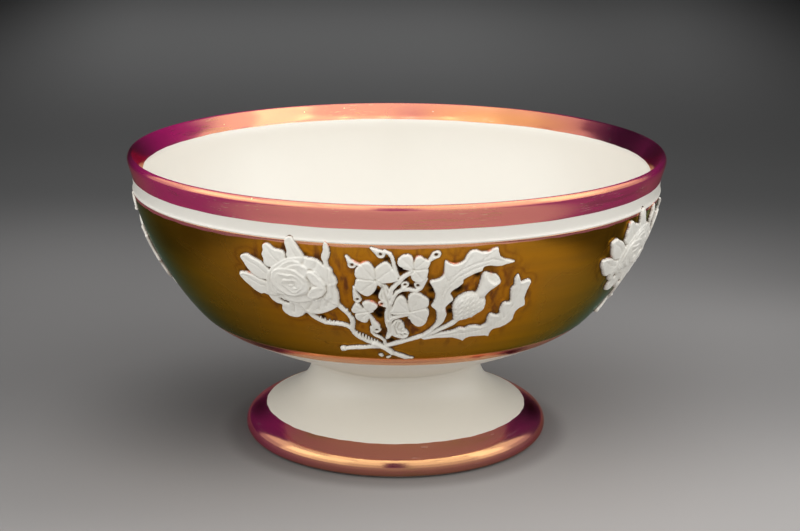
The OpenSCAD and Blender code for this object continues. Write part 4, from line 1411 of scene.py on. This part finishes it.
def mark_pools_and_shade(ground):
    """Marks where the bronze is painted dark, as deep lustre and as painted shade: close against the clay
    and in the gaps that it shuts in.
    """
    columns, rows = ((pool_high - pool_low) / pool_cell).astype(int)
    x, y = np.meshgrid(pool_low[0] + pool_cell * np.arange(columns),
                       pool_low[1] + pool_cell * np.arange(rows))
    spots = np.stack([x.ravel(), y.ravel()], 1)
    edge = np.max([relief_of(spots).edge for _, relief_of, _, _ in sprig_kinds], axis=0)
    edge = edge.reshape(rows, columns)
    clay_share = (edge > 0).astype(float)
    shut_in = np.clip((blurred(clay_share, shut_in_reach) - shut_in_from) / shut_in_over, 0, 1)
    shut_in = blurred(shut_in, 1)
    beside = np.clip(1 + edge / beside_w, 0, 1)
    nooks = [np.exp(-((x - a) ** 2 + (y - s) ** 2) ** 2 / (nook_spread * r) ** 4)
             for a, s, r in dark_pools_and_shade]
    # Dark patches for deep lustre and for painted shade
    pooled_and_shaded = np.max([shut_in_dark * shut_in, np.max(nooks, axis=0), beside_dark * beside], axis=0)
    mark_on_ground(ground, "pool_and_shade", pooled_and_shaded)
    mark_on_ground(ground, "tide", np.exp(-((edge + tide_line) / tide_w) ** 2))
    smudged = np.clip(smudge_gain * blurred(clay_share, smudge_reach), 0, 1)
    mark_on_ground(ground, "smudged", smudged)


def mark_on_ground(ground, mark, drawing):
    """Carries a drawing of the unrolled ground to its vertices, once for each bouquet."""
    rows, columns = drawing.shape
    co = points_of(ground)
    azimuth = np.arctan2(co[:, 0], -co[:, 1])
    up = mark_of(ground, "along") - at_turn
    carried_over = np.zeros(len(co))
    for angle in bouquet_angles:
        across = (azimuth - math.radians(angle) + math.pi) % (2 * math.pi) - math.pi
        column = (across * drawn_r - pool_low[0]) / pool_cell
        row = (up - pool_low[1]) / pool_cell
        held = (column >= 0) & (column < columns - 1) & (row >= 0) & (row < rows - 1)
        c, r = column[held].astype(int), row[held].astype(int)
        fc, fr = column[held] - c, row[held] - r
        value = ((drawing[r, c] * (1 - fc) + drawing[r, c + 1] * fc) * (1 - fr)
                 + (drawing[r + 1, c] * (1 - fc) + drawing[r + 1, c + 1] * fc) * fr)
        carried_over[held] = np.maximum(carried_over[held], value)
    put_mark(ground, mark, carried_over)


mark_pools_and_shade(ground)


# Stage

def paper_floor():
    bpy.ops.object.select_all(action="DESELECT")
    bpy.ops.mesh.primitive_plane_add(size=floor_w, location=(0, 0, 0))
    floor = bpy.context.object
    floor.name = "floor"
    floor.data.materials.append(floor_paper())


def soft_light(name, azimuth, elevation, wide, tall, radiance, shape="RECTANGLE"):
    """Flat soft light that faces the bowl, with its size in metres and the brightness of its face."""
    a, e = math.radians(azimuth), math.radians(elevation)
    lamp = bpy.data.lights.new(name, "AREA")
    lamp.shape = shape
    lamp.size, lamp.size_y = wide, tall
    face = wide * tall if shape == "RECTANGLE" else math.pi * wide ** 2 / 4
    lamp.energy = radiance * math.pi * face
    obj = bpy.data.objects.new(name, lamp)
    bpy.context.scene.collection.objects.link(obj)
    back = np.array([math.sin(a) * math.cos(e), -math.cos(a) * math.cos(e), math.sin(e)])
    obj.location = light_aim + light_distance * back
    obj.rotation_euler = (math.radians(90 - elevation), 0, a)


def across(degrees):
    """Size of a light that covers so many degrees as the bowl sees it."""
    return 2 * light_distance * math.tan(math.radians(degrees / 2))


def light_banks():
    """Rows of soft light on both sides of the camera, and a round one over the bowl."""
    for side, panels in light_panels.items():
        for azimuth, middle, high in panels:
            shares = {"low": low_share * middle, "middle": middle, "high": high}
            for row, (elevation, tall) in light_rows.items():
                wide = across(panel_w) * math.cos(math.radians(elevation))
                name = f"{side}_{row}_{abs(azimuth)}"
                soft_light(name, azimuth, elevation, wide, across(tall), bank_radiance * shares[row])
    elevation, tall = light_rows["high"]
    soft_light("over_camera", 0, elevation, over_camera_w, across(tall), bank_radiance)
    wide = across(over_bowl_w)
    soft_light("over_bowl", 0, 90, wide, wide, over_bowl_share * bank_radiance, "DISK")


def photo_camera():
    lens = bpy.data.cameras.new("photo_camera")
    lens.sensor_width = sensor_w
    lens.lens = lens_length
    camera = bpy.data.objects.new("photo_camera", lens)
    camera.location = eye
    camera.rotation_mode = "XYZ"
    tilt = Matrix.Rotation(math.radians(camera_tilt), 4, "X")
    roll = Matrix.Rotation(math.radians(camera_roll), 4, "Z")
    camera.rotation_euler = (tilt @ roll).to_euler()
    bpy.context.scene.collection.objects.link(camera)
    bpy.context.scene.camera = camera


paper_floor()
light_banks()
world = bpy.data.worlds.new("studio")
world.use_nodes = True
world.node_tree.nodes["Background"].inputs["Color"].default_value = studio_tint
world.node_tree.nodes["Background"].inputs["Strength"].default_value = studio_glow
bpy.context.scene.world = world
bpy.context.scene.view_settings.view_transform = "Standard"
photo_camera()
